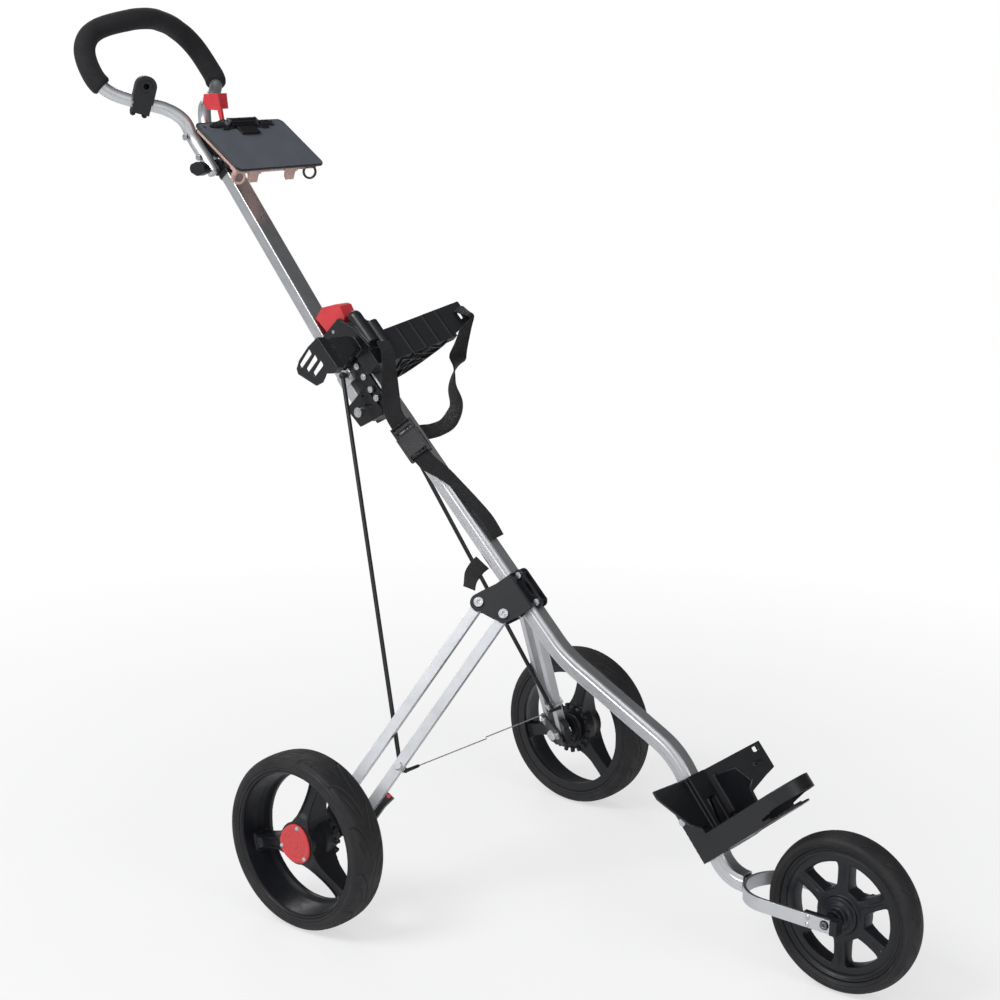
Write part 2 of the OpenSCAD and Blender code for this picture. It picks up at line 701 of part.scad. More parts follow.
module fold_latch() color("#e0383f") difference() {
  at_main() xz([[-333, 4], [-330, -16], [-288, -12], [-283.5, -6], [-283, 8], [-287, 16],
    [-296, 28], [-313, 32], [-319, 28]], -12, 12);
  at_main(latch_x, 0, latch_z) ybar(-40, 40, 2.5 + gap);
  at_upper() box([-250, -15.5, -60], [0, 15.5, 9.5]);
  at_main(-281, 0, 4) box([-3, -20, -40], [20, 20, 40]);
}
module latch_pin() color("silver") at_main(latch_x, 0, latch_z) ybar(-22, 22, 2.5);

// ---------- straps and buckle ----------
strap_w = 25;
strap_t = 1.8;
// axes of the straps: [x, y, z] in the main tube frame
loop_path = smooth(main_points([
  [-240, 160, 92], [-230, 161.5, 72], [-213, 159.5, 45], [-194, 152, 14],
  [-172, 139, -2], [-138, 118, -1], [-116, 88, -5], [-111, 60, -9],
  [-113, 36, -12], [-115, 16, -16.6], [-116, -2, -17.4], [-115, -13, -15.8]]), 4);
short_path = smooth(main_points([
  [-230, -3, 53], [-212, -6, 50], [-190, -11, 38], [-165, -17, 23],
  [-142, -23.5, 14.5], [-124.5, -26.2, 12.4]]), 4);
tail_path = smooth(main_points([
  [-61.5, -22, 10], [-52, -20, 11.5], [-30, -12, 16], [-4, -5, 19],
  [28, 0, 21], [56, 3, 22], [84, 6, 17]]), 4);
tail_end_path = smooth(main_points([
  [98, -8, -19], [100, -16, -25], [106, -24, -36], [116, -27, -48]]), 4);

function fractions(path) = [for (i = [0 : len(path) - 1]) i / (len(path) - 1)];
function clamped(x) = min(1, max(0, x));
function tilted(angle) = cos(angle) * across + sin(angle) * main_up;
// the loop's width direction, at a fraction of its length
function loop_width(f) = let(twist = 170 * clamped((f - 0.2) / 0.3))
  f < 0.5
  ? cos(twist) * unit(main_dir - 0.3 * across + 0.5 * main_up)
    + sin(twist) * unit(0.4 * across - main_up)
  : -unit(main_dir + max(0, 0.75 - f) * 3.2 * main_up);

// flat strap; widths gives its width direction at each point of the path
module strap(path, widths) {
  rings = len(path);
  points = [for (i = [0 : rings - 1])
    let(t = tangent(path, i), u = unit(widths[i] - (widths[i] * t) * t), v = cross(t, u))
    for (q = [[-1, -1], [1, -1], [1, 1], [-1, 1]])
      path[i] + q[0] * strap_w / 2 * u + q[1] * strap_t / 2 * v];
  polyhedron(points, concat(end_caps(rings, 4),
    [for (q = quads(rings, 4, 4), k = [0, 1])
      k == 0 ? [q[0], q[1], q[2]] : [q[0], q[2], q[3]]]), 10);
}
module strap_loop() color("#3a3b40")
  strap(loop_path, [for (f = fractions(loop_path)) loop_width(f)]);
module strap_short() color("#3a3b40")
  strap(short_path, [for (f = fractions(short_path)) tilted(60 * clamped(f * 2 - 0.6))]);
module strap_tail() color("#3a3b40") {
  strap(tail_path, [for (f = fractions(tail_path)) tilted(60 * max(0, 1 - f * 2.2))]);
  strap(tail_end_path, [for (p = tail_end_path) unit(main_dir - 0.25 * across)]);
}

module at_buckle() at_main(0, -22, 10) rotate([60, 0, 0]) children();
module buckle_body() color("#232428") at_buckle() difference() {
  union() {
    box([-104, -17, -4.5], [-66, 17, 4.5]);
    box([-104, -14, -5.5], [-70, 14, 5.5]);
  }
  box([-105, -12, -3.2], [-74, 12, 3.2]);
  for (y = [-17.01, 11.99]) box([-98, y, -3], [-82, y + 5.02, 3]);
  for (x = [-73, -68.5]) box([x, -13, -10], [x + 2.6, 13, 10]);
}
module buckle_tongue() color("#232428") at_buckle() difference() {
  union() {
    box([-121, -16, -4.2], [-105, 16, 4.2]);
    box([-106, -8, -2.2], [-90, 8, 2.2]);
    for (y = [-11.4, 8.4]) box([-107, y, -2.4], [-78, y + 3, 2.4]);
  }
  box([-119.5, -13.5, -1.6], [-116, 13.5, 10]);
  box([-112, -13.5, -10], [-108, 13.5, 10]);
}

// ---------- lower cradle ----------
bag_a = 49.5;  // slope of the cradle
shelf_y = 34;  // inner face of the shelf's side bands
band_t = 4;
// screws in the right side: x, z, y of the head's face, head radius
foot_screws = [[-1.5, -4, -41, 5], [6.6, 9, -40.2, 3.6]];

module at_foot(slope) translate(foot) rotate([0, slope, 0]) children();
// left wing, trimmed to a plan outline of [x, y] points
module lower_wing(plan) intersection() {
  yz(-50, 20) polygon([[14, -12], [14, 15], [24, 17], [119, 47.5], [121, 45], [119, 43.5],
    [36, 16], [28, -12]]);
  linear_extrude(200, center = true) polygon(plan);
}
module lower_wings() {
  lower_wing([[-47, 12], [-47, 122], [-8, 122], [-2, 100], [18, 40], [18, 12]]);
  // the mirrored wing is also trimmed by the left wing's outline
  mirrored() intersection() {
    lower_wing([[-47, 12], [-47, 122], [-8, 122], [-2, 100], [18, 40], [18, 12]]);
    linear_extrude(200, center = true)
      polygon([[-47, 12], [-47, 122], [-38, 122], [18, 62], [18, 12]]);
  }
  // rib on the left wing
  box([-24, 94, 33], [-21, 112, 44]);
}
module shelf() {
  for (y = [-shelf_y - band_t, shelf_y])
    xz([[25, -8], [57, -10], [57, 30], [50, 90], [44, 128], [25, 128]], y, y + band_t);
  // rounded end
  translate([25, 0, 126]) rotate([0, 90, 0]) linear_extrude(19) difference() {
    circle(r = shelf_y + band_t);
    circle(r = shelf_y);
    translate([0, -50]) square([60, 100]);
  }
  // sole with a round window
  translate([53, 0, 0]) difference() {
    union() {
      box([0, -36, 10], [3, 36, 118]);
      xbar([0, 0, 118], 3, 30);
    }
    xbar([-1, 0, 78], 6, 20);
  }
  for (y = [-shelf_y - band_t, shelf_y]) box([50, y, 60], [56, y + band_t, 116]);
}
// room for the tube and its bends inside the foot
module lower_clearance() {
  for (i = [1, 2]) bend(bends[i], 3) square([main_h + 0.8, main_w + 2.6], center = true);
  at_foot(low_a) box([-60, -12.7, -12.9], [60, 12.7, 12.9]);
}
module lower_cradle() color("#2b2c31") difference() {
  at_foot(bag_a) {
    box([-47, -18, -20], [57, 18, 23.5]);
    box([-40, -36, 12], [56, 36, 17]);
    box([-20, -38, -10], [57, 38, 17]);
    lower_wings();
    // left side wall
    xz([[-36, 16], [-28, 56], [-4, 68], [2, 60], [24, 58], [24, 16]], 34, 38);
    shelf();
  }
  lower_clearance();
  at_foot(bag_a) {
    // window over the tube
    box([-12, -8, 4], [24, 10, 40]);
    box([-43, 104, 30], [-36, 112, 60]);
    for (screw = foot_screws) ybar(-50, -13, 2.5, screw);
  }
}
module cradle_screws() color("silver") at_foot(bag_a) for (screw = foot_screws) {
  ybar(-39, -18.5, 2.42, screw);
  ybar(screw[2], -38.05, screw[3], screw);
}

// ---------- handle ----------
// left-out mirror half: right half of the handle's axis from the top middle down, [x, y, z]
handle_half = [
  [-600, 0, 1149], [-602.7, -18.3, 1148], [-606.9, -33.7, 1145.2],
  [-611.1, -49.1, 1142], [-616, -64.6, 1137.6], [-619.4, -78, 1132],
  [-618.8, -92, 1123.5], [-613.9, -103.9, 1111], [-605.5, -111.2, 1096.5],
  [-591.8, -114.8, 1077.7], [-576, -113.6, 1059.6], [-561.7, -99.2, 1044],
  [-540, -68.2, 1031.8], [-519.6, -39, 1023], [-501, -21, 1007],
  [-490, -14, 983], [-478, -13, 968], [-466, -13, 956],
  [-452, -13, 940.5], [-446.5, -13, 934]];
handle_points = concat(rev(handle_half),
  [for (i = [1 : len(handle_half) - 1]) let(p = handle_half[i]) [p[0], -p[1], p[2]]]);
handle_path = smooth(handle_points, 2);
handle_ref = unit([0.96, 0, 0.27]);
// the foam starts and ends part of a step inside these two points of the path
foam_first = 8 * 2 + 1;
foam_last = (len(handle_points) - 1 - 8) * 2 - 1;
function partway(a, b) = a + 0.55 * (b - a);
foam_path = concat(
  [partway(handle_path[foam_first], handle_path[foam_first + 1])],
  [for (i = [foam_first + 1 : foam_last - 1]) handle_path[i]],
  [partway(handle_path[foam_last], handle_path[foam_last - 1])]);
// bolts through the handle's ends: x, z, half length between the heads
handle_bolt_at = [[-490.5, 983.5, 26], [-466, 956, 23.8]];
knob_at = [-451.6, 941];   // [x, z]
lever_at = [-446, 1001];   // [x, z]

module handle_tube() color("silver") difference() {
  sweep(handle_path, circle_points(handle_d / 2, 16), handle_ref);
  for (at = handle_bolt_at) ybar(-40, 40, 3.3, at);
  ybar(-40, 40, 4 + 0.15, knob_at);
}
module foam_grip() color("#303136")
  hollow_sweep(foam_path, foam_d / 2, handle_d / 2 + 0.35, 20, handle_ref);
module tube_head() color("#222327") difference() {
  union() {
    at_upper() {
      yz(-upper_len - 6, -upper_len) rounded_rect(upper_w + 2, upper_h + 3, 2);
      yz(-upper_len, -upper_len + 16) rounded_rect(upper_w - 3.6, upper_h - 3.6, 1);
      box([-upper_len - 20, -3, -19], [-upper_len - 4, 3, 6]);
    }
    ybar(-3.1, 3.1, 12, knob_at);
  }
  ybar(-40, 40, 4 + gap, knob_at);
}
module handle_bolts() color("silver") {
  for (at = handle_bolt_at) {
    ybar(-at[2] - 1, at[2] + 1, 3, at);
    pair() ybar(at[2], at[2] + 3, 4.8, at);
  }
  ybar(-30, 25, 4, knob_at);
  ybar(23.2, 26.5, 6.5, knob_at);
}
module clamp_knob() color("#1c1d20") difference() {
  union() {
    ybar(-36, -26, 8, knob_at);
    for (x = [-8, -4, 0, 4, 8])
      translate([x, 0, 0]) ybar(-42, -31, 10 - abs(x) * 0.35, knob_at);
  }
  ybar(-31, -20, 4 + gap, knob_at);
}
module tilt_lever() color("#e0383f") difference() {
  union() {
    xz([[-476, 1040], [-455, 1044], [-449, 1024], [-444, 1002], [-448, 998],
      [-456, 1022], [-478, 1022], [-480, 1034]], 4, 8);
    xz([[-484, 1044], [-455, 1046], [-452, 1024], [-478, 1022], [-486, 1032]], 4, 22);
    ybar(4, 8, 7, lever_at);
  }
  ybar(0, 10, 2.5 + gap, lever_at);
}

// clamp for an umbrella holder, on the right handle tube
clamp_dir = unit([-0.55, -0.79, 0.25]);
clamp_at = [0, 24];  // axis of the clamp's round head, [x, z] in its own frame
module at_clamp()
  translate([-538, -66.5, 1031.4]) rotate([0, 0, atan2(clamp_dir[1], clamp_dir[0])])
    rotate([0, -asin(clamp_dir[2]), 0]) children();
module accessory_clamp() color("#17181b") at_clamp() difference() {
  union() {
    box([-13, -13, -16], [13, 14, 20]);
    ybar(-13, 14, 15, clamp_at);
    box([-15, -13, 0], [15, 14, 24]);
    for (x = [-8.5, 8.5]) ybar(-12.9, -4.1, 3.6, [x, -17]);
  }
  xbar([-30, 0, 0], 60, handle_d / 2 + 1.25);
  box([-20, -4, -30], [20, 4, -6]);
  ybar(-10, 30, 4.25, clamp_at);
  ybar(11.5, 14.5, 10, clamp_at);
}

// ---------- console ----------
// console frame: x down the lid from its upper edge, z up from the lid
module at_console(x = 0, y = 0, z = 0)
  translate([-409.5, 0, 1007]) rotate([0, 34.1, 0]) translate([x, y, z]) children();
clip_at = [5, 7];  // clip's hinge axis, [x, z]

module console_bracket() color("#26272b") difference() {
  union() {
    xz([[-497, 992], [-484, 996], [-440, 1010], [-424, 1002], [-422.1, 990.1],
      [-371.6, 955.9], [-385, 948], [-436, 962], [-458, 958], [-474, 958]], -3.2, 3.2);
    ybar(0, 10, 2.5, lever_at);
    at_console(30, 0, -24) box([-14, -30, 0], [40, 30, 3]);
  }
  for (at = handle_bolt_at) ybar(-40, 40, 3 + fit, at);
  ybar(-10, 10, 14, knob_at);
}
module at_tray_rings()
  for (y = [-66, 66]) at_console(lid_l - 5, y, -14) rotate([0, 110, 0]) children();
module console_tray() color("#d8a7a3") difference() {
  union() {
    at_console() box([1, -lid_w / 2 + 2, -21], [lid_l - 3, lid_w / 2 - 2, -1.2]);
    at_tray_rings() cylinder(r = 12, h = 5);
    for (y = [-34, 16]) at_console() xz([[lid_l - 4, -3], [lid_l - 4, -20],
      [lid_l + 4, -24], [lid_l + 1, -5]], y, y + 18);
  }
  // three pockets
  at_console() for (y = [-lid_w / 2 + 5, -26, 28])
    box([5, y, -18.5], [lid_l - 8, y + 48, 1]);
  at_tray_rings() post(-1, 8, 8);
}
module console_lid() color("#4a4c55") at_console() difference() {
  union() {
    translate([lid_l / 2, 0, -1]) linear_extrude(3.2) rounded_rect(lid_l, lid_w, 8);
    for (y = [-28, 24.6]) box([1, y, 2], [9, y + 3.4, 10]);
  }
  for (y = [-72, -60]) post(-5, 3, 20, [10, y], $fn = 24);
  ybar(-40, 40, 1.7, clip_at);
}
module card_clip() color("#17181b") at_console(clip_at[0], 0, clip_at[1]) {
  ybar(-24, 24, 4.5);
  ybar(-27, 27, 1.6);
  box([0, -23, -4.2], [9, 23, 0]);
  box([8, -17, -4.2], [26, 17, -1.4]);
}

main_tube();
front_fork();
fork_end_blocks();
fork_rivets();
front_axle();
front_rim();
front_tyre();
bracket_half_right();
bracket_half_left();
bracket_bolts();
leg_pivot_bolts();
leg_bar_front_right();
leg_bar_rear_right();
wheel_carrier_right();
carrier_pins_right();
rear_axle_right();
release_tab_right();
rear_rim_right();
rear_tyre_right();
hub_cap_right();
cap_screws_right();
leg_bar_front_left();
leg_bar_rear_left();
wheel_carrier_left();
carrier_pins_left();
rear_axle_left();
release_tab_left();
rear_rim_left();
rear_tyre_left();
hub_cap_left();
cap_screws_left();
push_rod_right();
push_rod_left();
tie_cable_right();
tie_cable_left();
upper_tube();
tube_head();
hinge_plates();
hinge_pin();
side_bolts();
upper_cradle();
fold_latch();
latch_pin();
strap_loop();
strap_short();
strap_tail();
buckle_body();
buckle_tongue();
lower_cradle();
cradle_screws();
handle_tube();
foam_grip();
console_bracket();
handle_bolts();
clamp_knob();
tilt_lever();
accessory_clamp();
console_tray();
console_lid();
card_clip();
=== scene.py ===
"""Three-wheeled push trolley with bag cradles, straps, a bent handle and a console.

It stands on the floor at Z = 0, with the front wheel towards +X, the handle up towards -X
and its right side towards -Y. Shapes are in mm; materials, lights and camera in metres.
"""
import json
import math

import bmesh
import bpy
import numpy as np
from mathutils import Matrix, Vector


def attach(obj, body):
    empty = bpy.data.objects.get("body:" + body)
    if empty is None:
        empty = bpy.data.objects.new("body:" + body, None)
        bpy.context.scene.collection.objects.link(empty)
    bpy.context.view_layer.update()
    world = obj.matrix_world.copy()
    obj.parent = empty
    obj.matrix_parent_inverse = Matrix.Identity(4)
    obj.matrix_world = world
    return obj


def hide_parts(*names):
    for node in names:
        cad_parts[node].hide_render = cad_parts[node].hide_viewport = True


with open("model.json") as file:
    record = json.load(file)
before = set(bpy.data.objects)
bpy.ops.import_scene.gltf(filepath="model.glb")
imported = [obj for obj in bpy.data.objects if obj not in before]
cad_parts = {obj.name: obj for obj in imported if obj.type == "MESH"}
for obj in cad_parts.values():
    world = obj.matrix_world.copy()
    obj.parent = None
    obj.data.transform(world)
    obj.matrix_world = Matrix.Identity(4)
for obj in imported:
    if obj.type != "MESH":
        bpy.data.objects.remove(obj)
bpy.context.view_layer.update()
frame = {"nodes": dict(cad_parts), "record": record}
NODES = frame["nodes"]
BODY = {node: body for body, nodes in frame["record"]["behaviour"]["bodies"].items()
        for node in nodes}
scene = bpy.context.scene

# ------------------------------------------------------------------ driving sizes (mm, degrees)
MM = 1000.0  # mm in a metre
SIDES = ((1, "right"), (-1, "left"))

REAR_RADIUS = 118
REAR_WHEEL_Y = 293.5
FRONT_RADIUS = 102
FRONT_WHEEL_X = 629

REAR_SPOKES = 3
REAR_SPOKE_ANGLE = 77  # first spoke, and first lobe of the hub cap
HUB_CAP_RADIUS = 28.6
FRONT_SPOKES = 6

TAPE_WIDTH = 25
TAPE_THICKNESS = 2.0

MAIN_TILT = 44.3
CONSOLE_TILT = 34.1
LEG_ROLL = 52.1  # plane of the right leg, rolled about the main tube
LEG_ANGLE = math.radians(-69.2)  # leg from the main tube, in that plane


# ------------------------------------------------------------------ frames
X_AXIS, Y_AXIS = np.eye(3)[:2]


def tilted_axes(degrees):
    """Directions of X and Z after a turn about Y."""
    angle = math.radians(degrees)
    cos, sin = math.cos(angle), math.sin(angle)
    return np.array([cos, 0, -sin]), np.array([sin, 0, cos])


def tilted_frame(origin, degrees):
    """Function that takes points from a frame turned about Y to the scene."""
    along, normal = tilted_axes(degrees)
    origin = np.array(origin, float)

    def place(points):
        x, y, z = np.split(np.asarray(points, float), 3, axis=-1)
        return origin + x * along + y * Y_AXIS + z * normal

    return place


MAIN_ALONG, MAIN_NORMAL = tilted_axes(MAIN_TILT)
on_main = tilted_frame((0, 0, 524.2), MAIN_TILT)
on_console = tilted_frame((-409.5, 0, 1007), CONSOLE_TILT)

LEG_PIVOT = on_main((178.8, -29.5, -20.7))
LEG_SIDE = (math.cos(math.radians(LEG_ROLL)) * Y_AXIS
            + math.sin(math.radians(LEG_ROLL)) * MAIN_NORMAL)


def leg_point(x, y):
    """Point in the plane of the right leg; x runs down the main tube."""
    return LEG_PIVOT + x * MAIN_ALONG + y * LEG_SIDE


def on_rear_wheel(points, side):
    """From a wheel's own frame (axis outward along Z) to the rear wheel; side 1 is right."""
    x, y, z = np.asarray(points, float).T
    return np.stack([x, side * (-REAR_WHEEL_Y - z), REAR_RADIUS + y], 1)


def on_front_wheel(points):
    x, y, z = np.asarray(points, float).T
    return np.stack([FRONT_WHEEL_X + x, -z, FRONT_RADIUS + y], 1)


# ------------------------------------------------------------------ shader nodes
def scaled(colour, gain):
    return tuple(min(1, channel * gain) for channel in colour)


class Nodes:
    """Node-tree builder. An input takes a value, a socket or a node (its first output)."""

    def __init__(self, owner):
        self.owner = owner
        owner.use_nodes = True
        self.tree = owner.node_tree
        self.tree.nodes.clear()

    def put(self, socket, value):
        if isinstance(value, bpy.types.Node):
            value = value.outputs[0]
        if isinstance(value, bpy.types.NodeSocket):
            self.tree.links.new(value, socket)
        else:
            socket.default_value = value

    def add(self, kind, inputs=None, **properties):
        node = self.tree.nodes.new("ShaderNode" + kind)
        for key, value in properties.items():
            setattr(node, key, value)
        for key, value in (inputs or {}).items():
            self.put(node.inputs[key], value)
        return node

    def math(self, operation, first, second=0.0):
        return self.add("Math", {0: first, 1: second, 2: 0.0}, operation=operation)

    def times(self, first, second):
        return self.math("MULTIPLY", first, second)

    def plus(self, first, second):
        return self.math("ADD", first, second)

    def remap(self, value, span=(0.3, 0.7), to=(0.0, 1.0)):
        """Map a value's span linearly onto another, clamped."""
        return self.add("MapRange", {"Value": value, "From Min": span[0], "From Max": span[1],
                                     "To Min": to[0], "To Max": to[1]})

    def mix(self, factor, first, second):
        """Colour mix; a colour is a socket or an RGB tuple."""
        node = self.add("Mix", data_type="RGBA")
        self.put(node.inputs[0], factor)
        for index, colour in ((6, first), (7, second)):
            self.put(node.inputs[index], (*colour, 1.0) if isinstance(colour, tuple) else colour)
        return node.outputs[2]


class Material(Nodes):
    """Material round one Principled shader, textured in object coordinates."""

    def __init__(self, name):
        super().__init__(bpy.data.materials.new(name))
        self.output = self.add("OutputMaterial")
        self.principled = self.add("BsdfPrincipled")
        self.put(self.output.inputs[0], self.principled)
        self.coords = self.add("TexCoord")
        self.position = self.coords.outputs["Object"]

    def surface(self, inputs):
        for key, value in inputs.items():
            self.put(self.principled.inputs[key], value)

    def noise(self, scale, detail=3.0, rough=0.55, vector=None, distort=0.0):
        return self.add("TexNoise", {"Vector": vector or self.position, "Scale": scale,
                                     "Detail": detail, "Roughness": rough,
                                     "Distortion": distort})

    def mottle(self, pattern, colour, gains, span=(0.3, 0.7)):
        """A colour drifting between two gains of itself."""
        return self.mix(self.remap(pattern, span), scaled(colour, gains[0]),
                        scaled(colour, gains[1]))

    def stretch(self, axis, along, across):
        """Object coordinates squeezed so that a noise runs as fine lines along axis."""
        turn = Vector((1, 0, 0)).rotation_difference(Vector(axis)).inverted().to_euler()
        rotated = self.add("VectorRotate", {"Vector": self.position, "Rotation": tuple(turn)},
                           rotation_type="EULER_XYZ")
        return self.add("VectorMath", {0: rotated, 1: (along, across, across)},
                        operation="MULTIPLY")

    def distance(self, point):
        node = self.add("VectorMath", {0: self.position, 1: point}, operation="DISTANCE")
        return node.outputs["Value"]

    def bevel(self, radius):
        return self.add("Bevel", {"Radius": radius}, samples=4)

    def bump(self, height, distance, strength=1.0, normal=None):
        inputs = {"Height": height, "Distance": distance, "Strength": strength}
        if normal is not None:
            inputs["Normal"] = normal
        return self.add("Bump", inputs)

    def edge(self, normal):
        """1 on a rounded edge, 0 on a flat."""
        flat = self.add("NewGeometry").outputs["Normal"]
        dot = self.add("VectorMath", {0: normal, 1: flat}, operation="DOT_PRODUCT")
        return self.remap(dot.outputs["Value"], span=(0.995, 0.86))


# ------------------------------------------------------------------ finishes
# scales are per metre; bevel radii and bump depths are in metres
def moulded(name, colour, rough=0.5, specular=0.35, grain=1700, depth=0.00006, variation=0.18,
            wear=0.5, bevel=0.0008, subsurface=0.0, worn=None):
    """Moulded plastic: mould grain, colour drift, scuffed gloss; bevelled edges rub paler."""
    b = Material(name)
    base = b.mottle(b.noise(scale=22, detail=4), colour, gains=(1 - variation, 1 + variation))
    normal = None
    if bevel:
        normal = b.bevel(bevel)
        patch = b.remap(b.noise(scale=160, detail=5), span=(0.42, 0.62))
        rubbed = b.times(b.times(b.edge(normal), patch), wear)
        base = b.mix(rubbed, base, worn or scaled(colour, 2.4))
    scuff = b.noise(scale=70, detail=6, rough=0.65, distort=0.6)
    gloss = b.remap(scuff, span=(0.25, 0.75), to=(rough - 0.09, rough + 0.1))
    fine = b.noise(scale=grain, detail=2, rough=0.6)
    wavy = b.noise(scale=45, detail=2, rough=0.4)
    height = b.plus(fine, b.times(wavy, 1.2))
    b.surface({"Base Color": base, "Roughness": gloss, "Specular IOR Level": specular,
               "Normal": b.bump(height, distance=depth, normal=normal)})
    if subsurface:
        b.surface({"Subsurface Weight": subsurface, "Subsurface Radius": (0.004, 0.0015, 0.001)})
    return b


def anodised(name, axis, colour=(0.70, 0.71, 0.73), rough=0.38, lines=1.0):
    """Satin anodised extrusion: die lines along the axis, blasted grain, faint marks."""
    b = Material(name)
    line = b.noise(scale=1.0, detail=4, rough=0.7, vector=b.stretch(axis, along=3.0, across=520.0))
    base = b.mottle(b.noise(scale=14, detail=4), colour, gains=(0.93, 1.04))
    shade = b.remap(line, span=(0.3, 0.75), to=(0.0, 0.22 * lines))
    base = b.mix(shade, base, scaled(colour, 0.72))
    normal = b.bevel(radius=0.0007)
    base = b.mix(b.times(b.edge(normal), 0.3), base, (0.84, 0.84, 0.86))
    smear = b.noise(scale=38, detail=5, rough=0.6, distort=0.4)
    gloss = b.remap(smear, span=(0.25, 0.75), to=(rough - 0.06, rough + 0.08))
    height = b.plus(b.noise(scale=2600, detail=2, rough=0.6), b.times(line, 0.9 * lines))
    b.surface({"Base Color": base, "Metallic": 1.0, "Roughness": gloss,
               "Normal": b.bump(height, distance=0.00003, normal=normal)})
    return b


def steel(name, colour=(0.62, 0.63, 0.65), rough=0.28):
    """Zinc-plated fastener: slight bloom and a fine grain."""
    b = Material(name)
    bloom = b.noise(scale=240, detail=5, rough=0.6)
    base = b.mottle(bloom, colour, gains=(0.78, 1.12), span=(0.35, 0.65))
    gloss = b.remap(b.noise(scale=420, detail=4), to=(rough - 0.08, rough + 0.12))
    normal = b.bump(b.noise(scale=3000, detail=2), distance=0.00003,
                    normal=b.bevel(radius=0.0004))
    b.surface({"Base Color": base, "Metallic": 1.0, "Roughness": gloss, "Normal": normal})
    return b


def rubber(name, colour=(0.013, 0.013, 0.015)):
    """Tyre compound: patches of dusty bloom, pale specks, matte grain."""
    b = Material(name)
    dust = b.remap(b.noise(scale=26, detail=6, rough=0.65, distort=0.5), span=(0.48, 0.74))
    base = b.mix(b.times(dust, 0.45), scaled(colour, 0.9), (0.036, 0.032, 0.030))
    speck = b.remap(b.noise(scale=900, detail=3, rough=0.6), span=(0.66, 0.8))
    base = b.mix(b.times(speck, 0.25), base, (0.07, 0.066, 0.062))
    gloss = b.remap(b.noise(scale=60, detail=5), to=(0.5, 0.68))
    height = b.plus(b.noise(scale=1300, detail=3, rough=0.65),
                    b.times(b.noise(scale=120, detail=3), 1.5))
    b.surface({"Base Color": base, "Roughness": gloss, "Specular IOR Level": 0.4,
               "Normal": b.bump(height, distance=0.00012)})
    return b


def foam(name):
    """Closed-cell foam sleeve: pore pits with painted shade in them, and a soft nap."""
    b = Material(name)
    cells = b.add("TexVoronoi", {"Vector": b.position, "Scale": 950.0, "Randomness": 1.0})
    pore_pits_and_shade = b.remap(cells.outputs["Distance"], span=(0.1, 0.5))
    # painted shade: darker colour in the pore pits, paler between them
    base = b.mix(pore_pits_and_shade, (0.005, 0.005, 0.006), (0.015, 0.015, 0.017))
    nap = b.remap(b.noise(scale=30, detail=4), span=(0.4, 0.75), to=(0, 0.3))
    base = b.mix(nap, base, (0.028, 0.028, 0.032))
    gloss = b.remap(b.noise(scale=80, detail=4), to=(0.72, 0.88))
    height = b.plus(pore_pits_and_shade, b.times(b.noise(scale=260, detail=3), 1.3))
    b.surface({"Base Color": base, "Roughness": gloss, "Specular IOR Level": 0.25,
               "Sheen Weight": 0.06, "Sheen Roughness": 0.5,
               "Normal": b.bump(height, distance=0.00018)})
    return b


def webbing(name, rib=0.0021, row=0.0019, herringbone=0.0084):
    """Woven tape. Reads the strip's UVs: u across, v along; they and the pitches are metres."""
    b = Material(name)
    split = b.add("SeparateXYZ", {0: b.coords.outputs["UV"]})
    across, along = split.outputs[0], split.outputs[1]
    rib_phase = b.times(across, 2 * math.pi / rib)
    # yarns lean one way, then the other, across the tape
    lean = b.times(b.math("SINE", b.times(across, 2 * math.pi / herringbone)), 0.9)
    row_phase = b.plus(b.times(along, 2 * math.pi / row), lean)
    yarn_relief_and_shade = b.times(b.plus(b.math("SINE", rib_phase), 1.0), b.plus(b.math("SINE", row_phase), 1.0))
    fibre = b.noise(scale=3200, detail=2, rough=0.7)
    height = b.plus(yarn_relief_and_shade, b.times(fibre, 1.2))
    # painted shade between the yarns, and painted highlight on their crests
    base = b.mix(b.remap(yarn_relief_and_shade, span=(0.0, 3.0)), (0.003, 0.003, 0.004), (0.017, 0.017, 0.02))
    faded = b.remap(b.noise(scale=55, detail=4), span=(0.45, 0.75), to=(0, 0.35))
    base = b.mix(faded, base, (0.03, 0.03, 0.034))
    b.surface({"Base Color": base, "Roughness": b.remap(fibre, to=(0.5, 0.72)),
               "Specular IOR Level": 0.35, "Sheen Weight": 0.08,
               "Normal": b.bump(height, distance=0.00022, strength=0.9)})
    return b


def translucent(name, colour, rough=0.35):
    """Tinted translucent moulding: some light comes through; painted shade darkens the bevelled
    edges.
    """
    b = Material(name)
    normal = b.bevel(radius=0.0012)
    base = b.mottle(b.noise(scale=30, detail=4), colour, gains=(0.9, 1.08))
    # painted shade: bevelled edges darkened to 0.7 of the tint
    base = b.mix(b.times(b.edge(normal), 0.4), base, scaled(colour, 0.7))
    gloss = b.remap(b.noise(scale=90, detail=5), to=(rough - 0.07, rough + 0.1))
    height = b.noise(scale=700, detail=2)
    b.surface({"Base Color": base, "Roughness": gloss, "Transmission Weight": 0.35,
               "Subsurface Weight": 0.5, "Subsurface Radius": (0.012, 0.006, 0.005),
               "Normal": b.bump(height, distance=0.00005, normal=normal)})
    return b


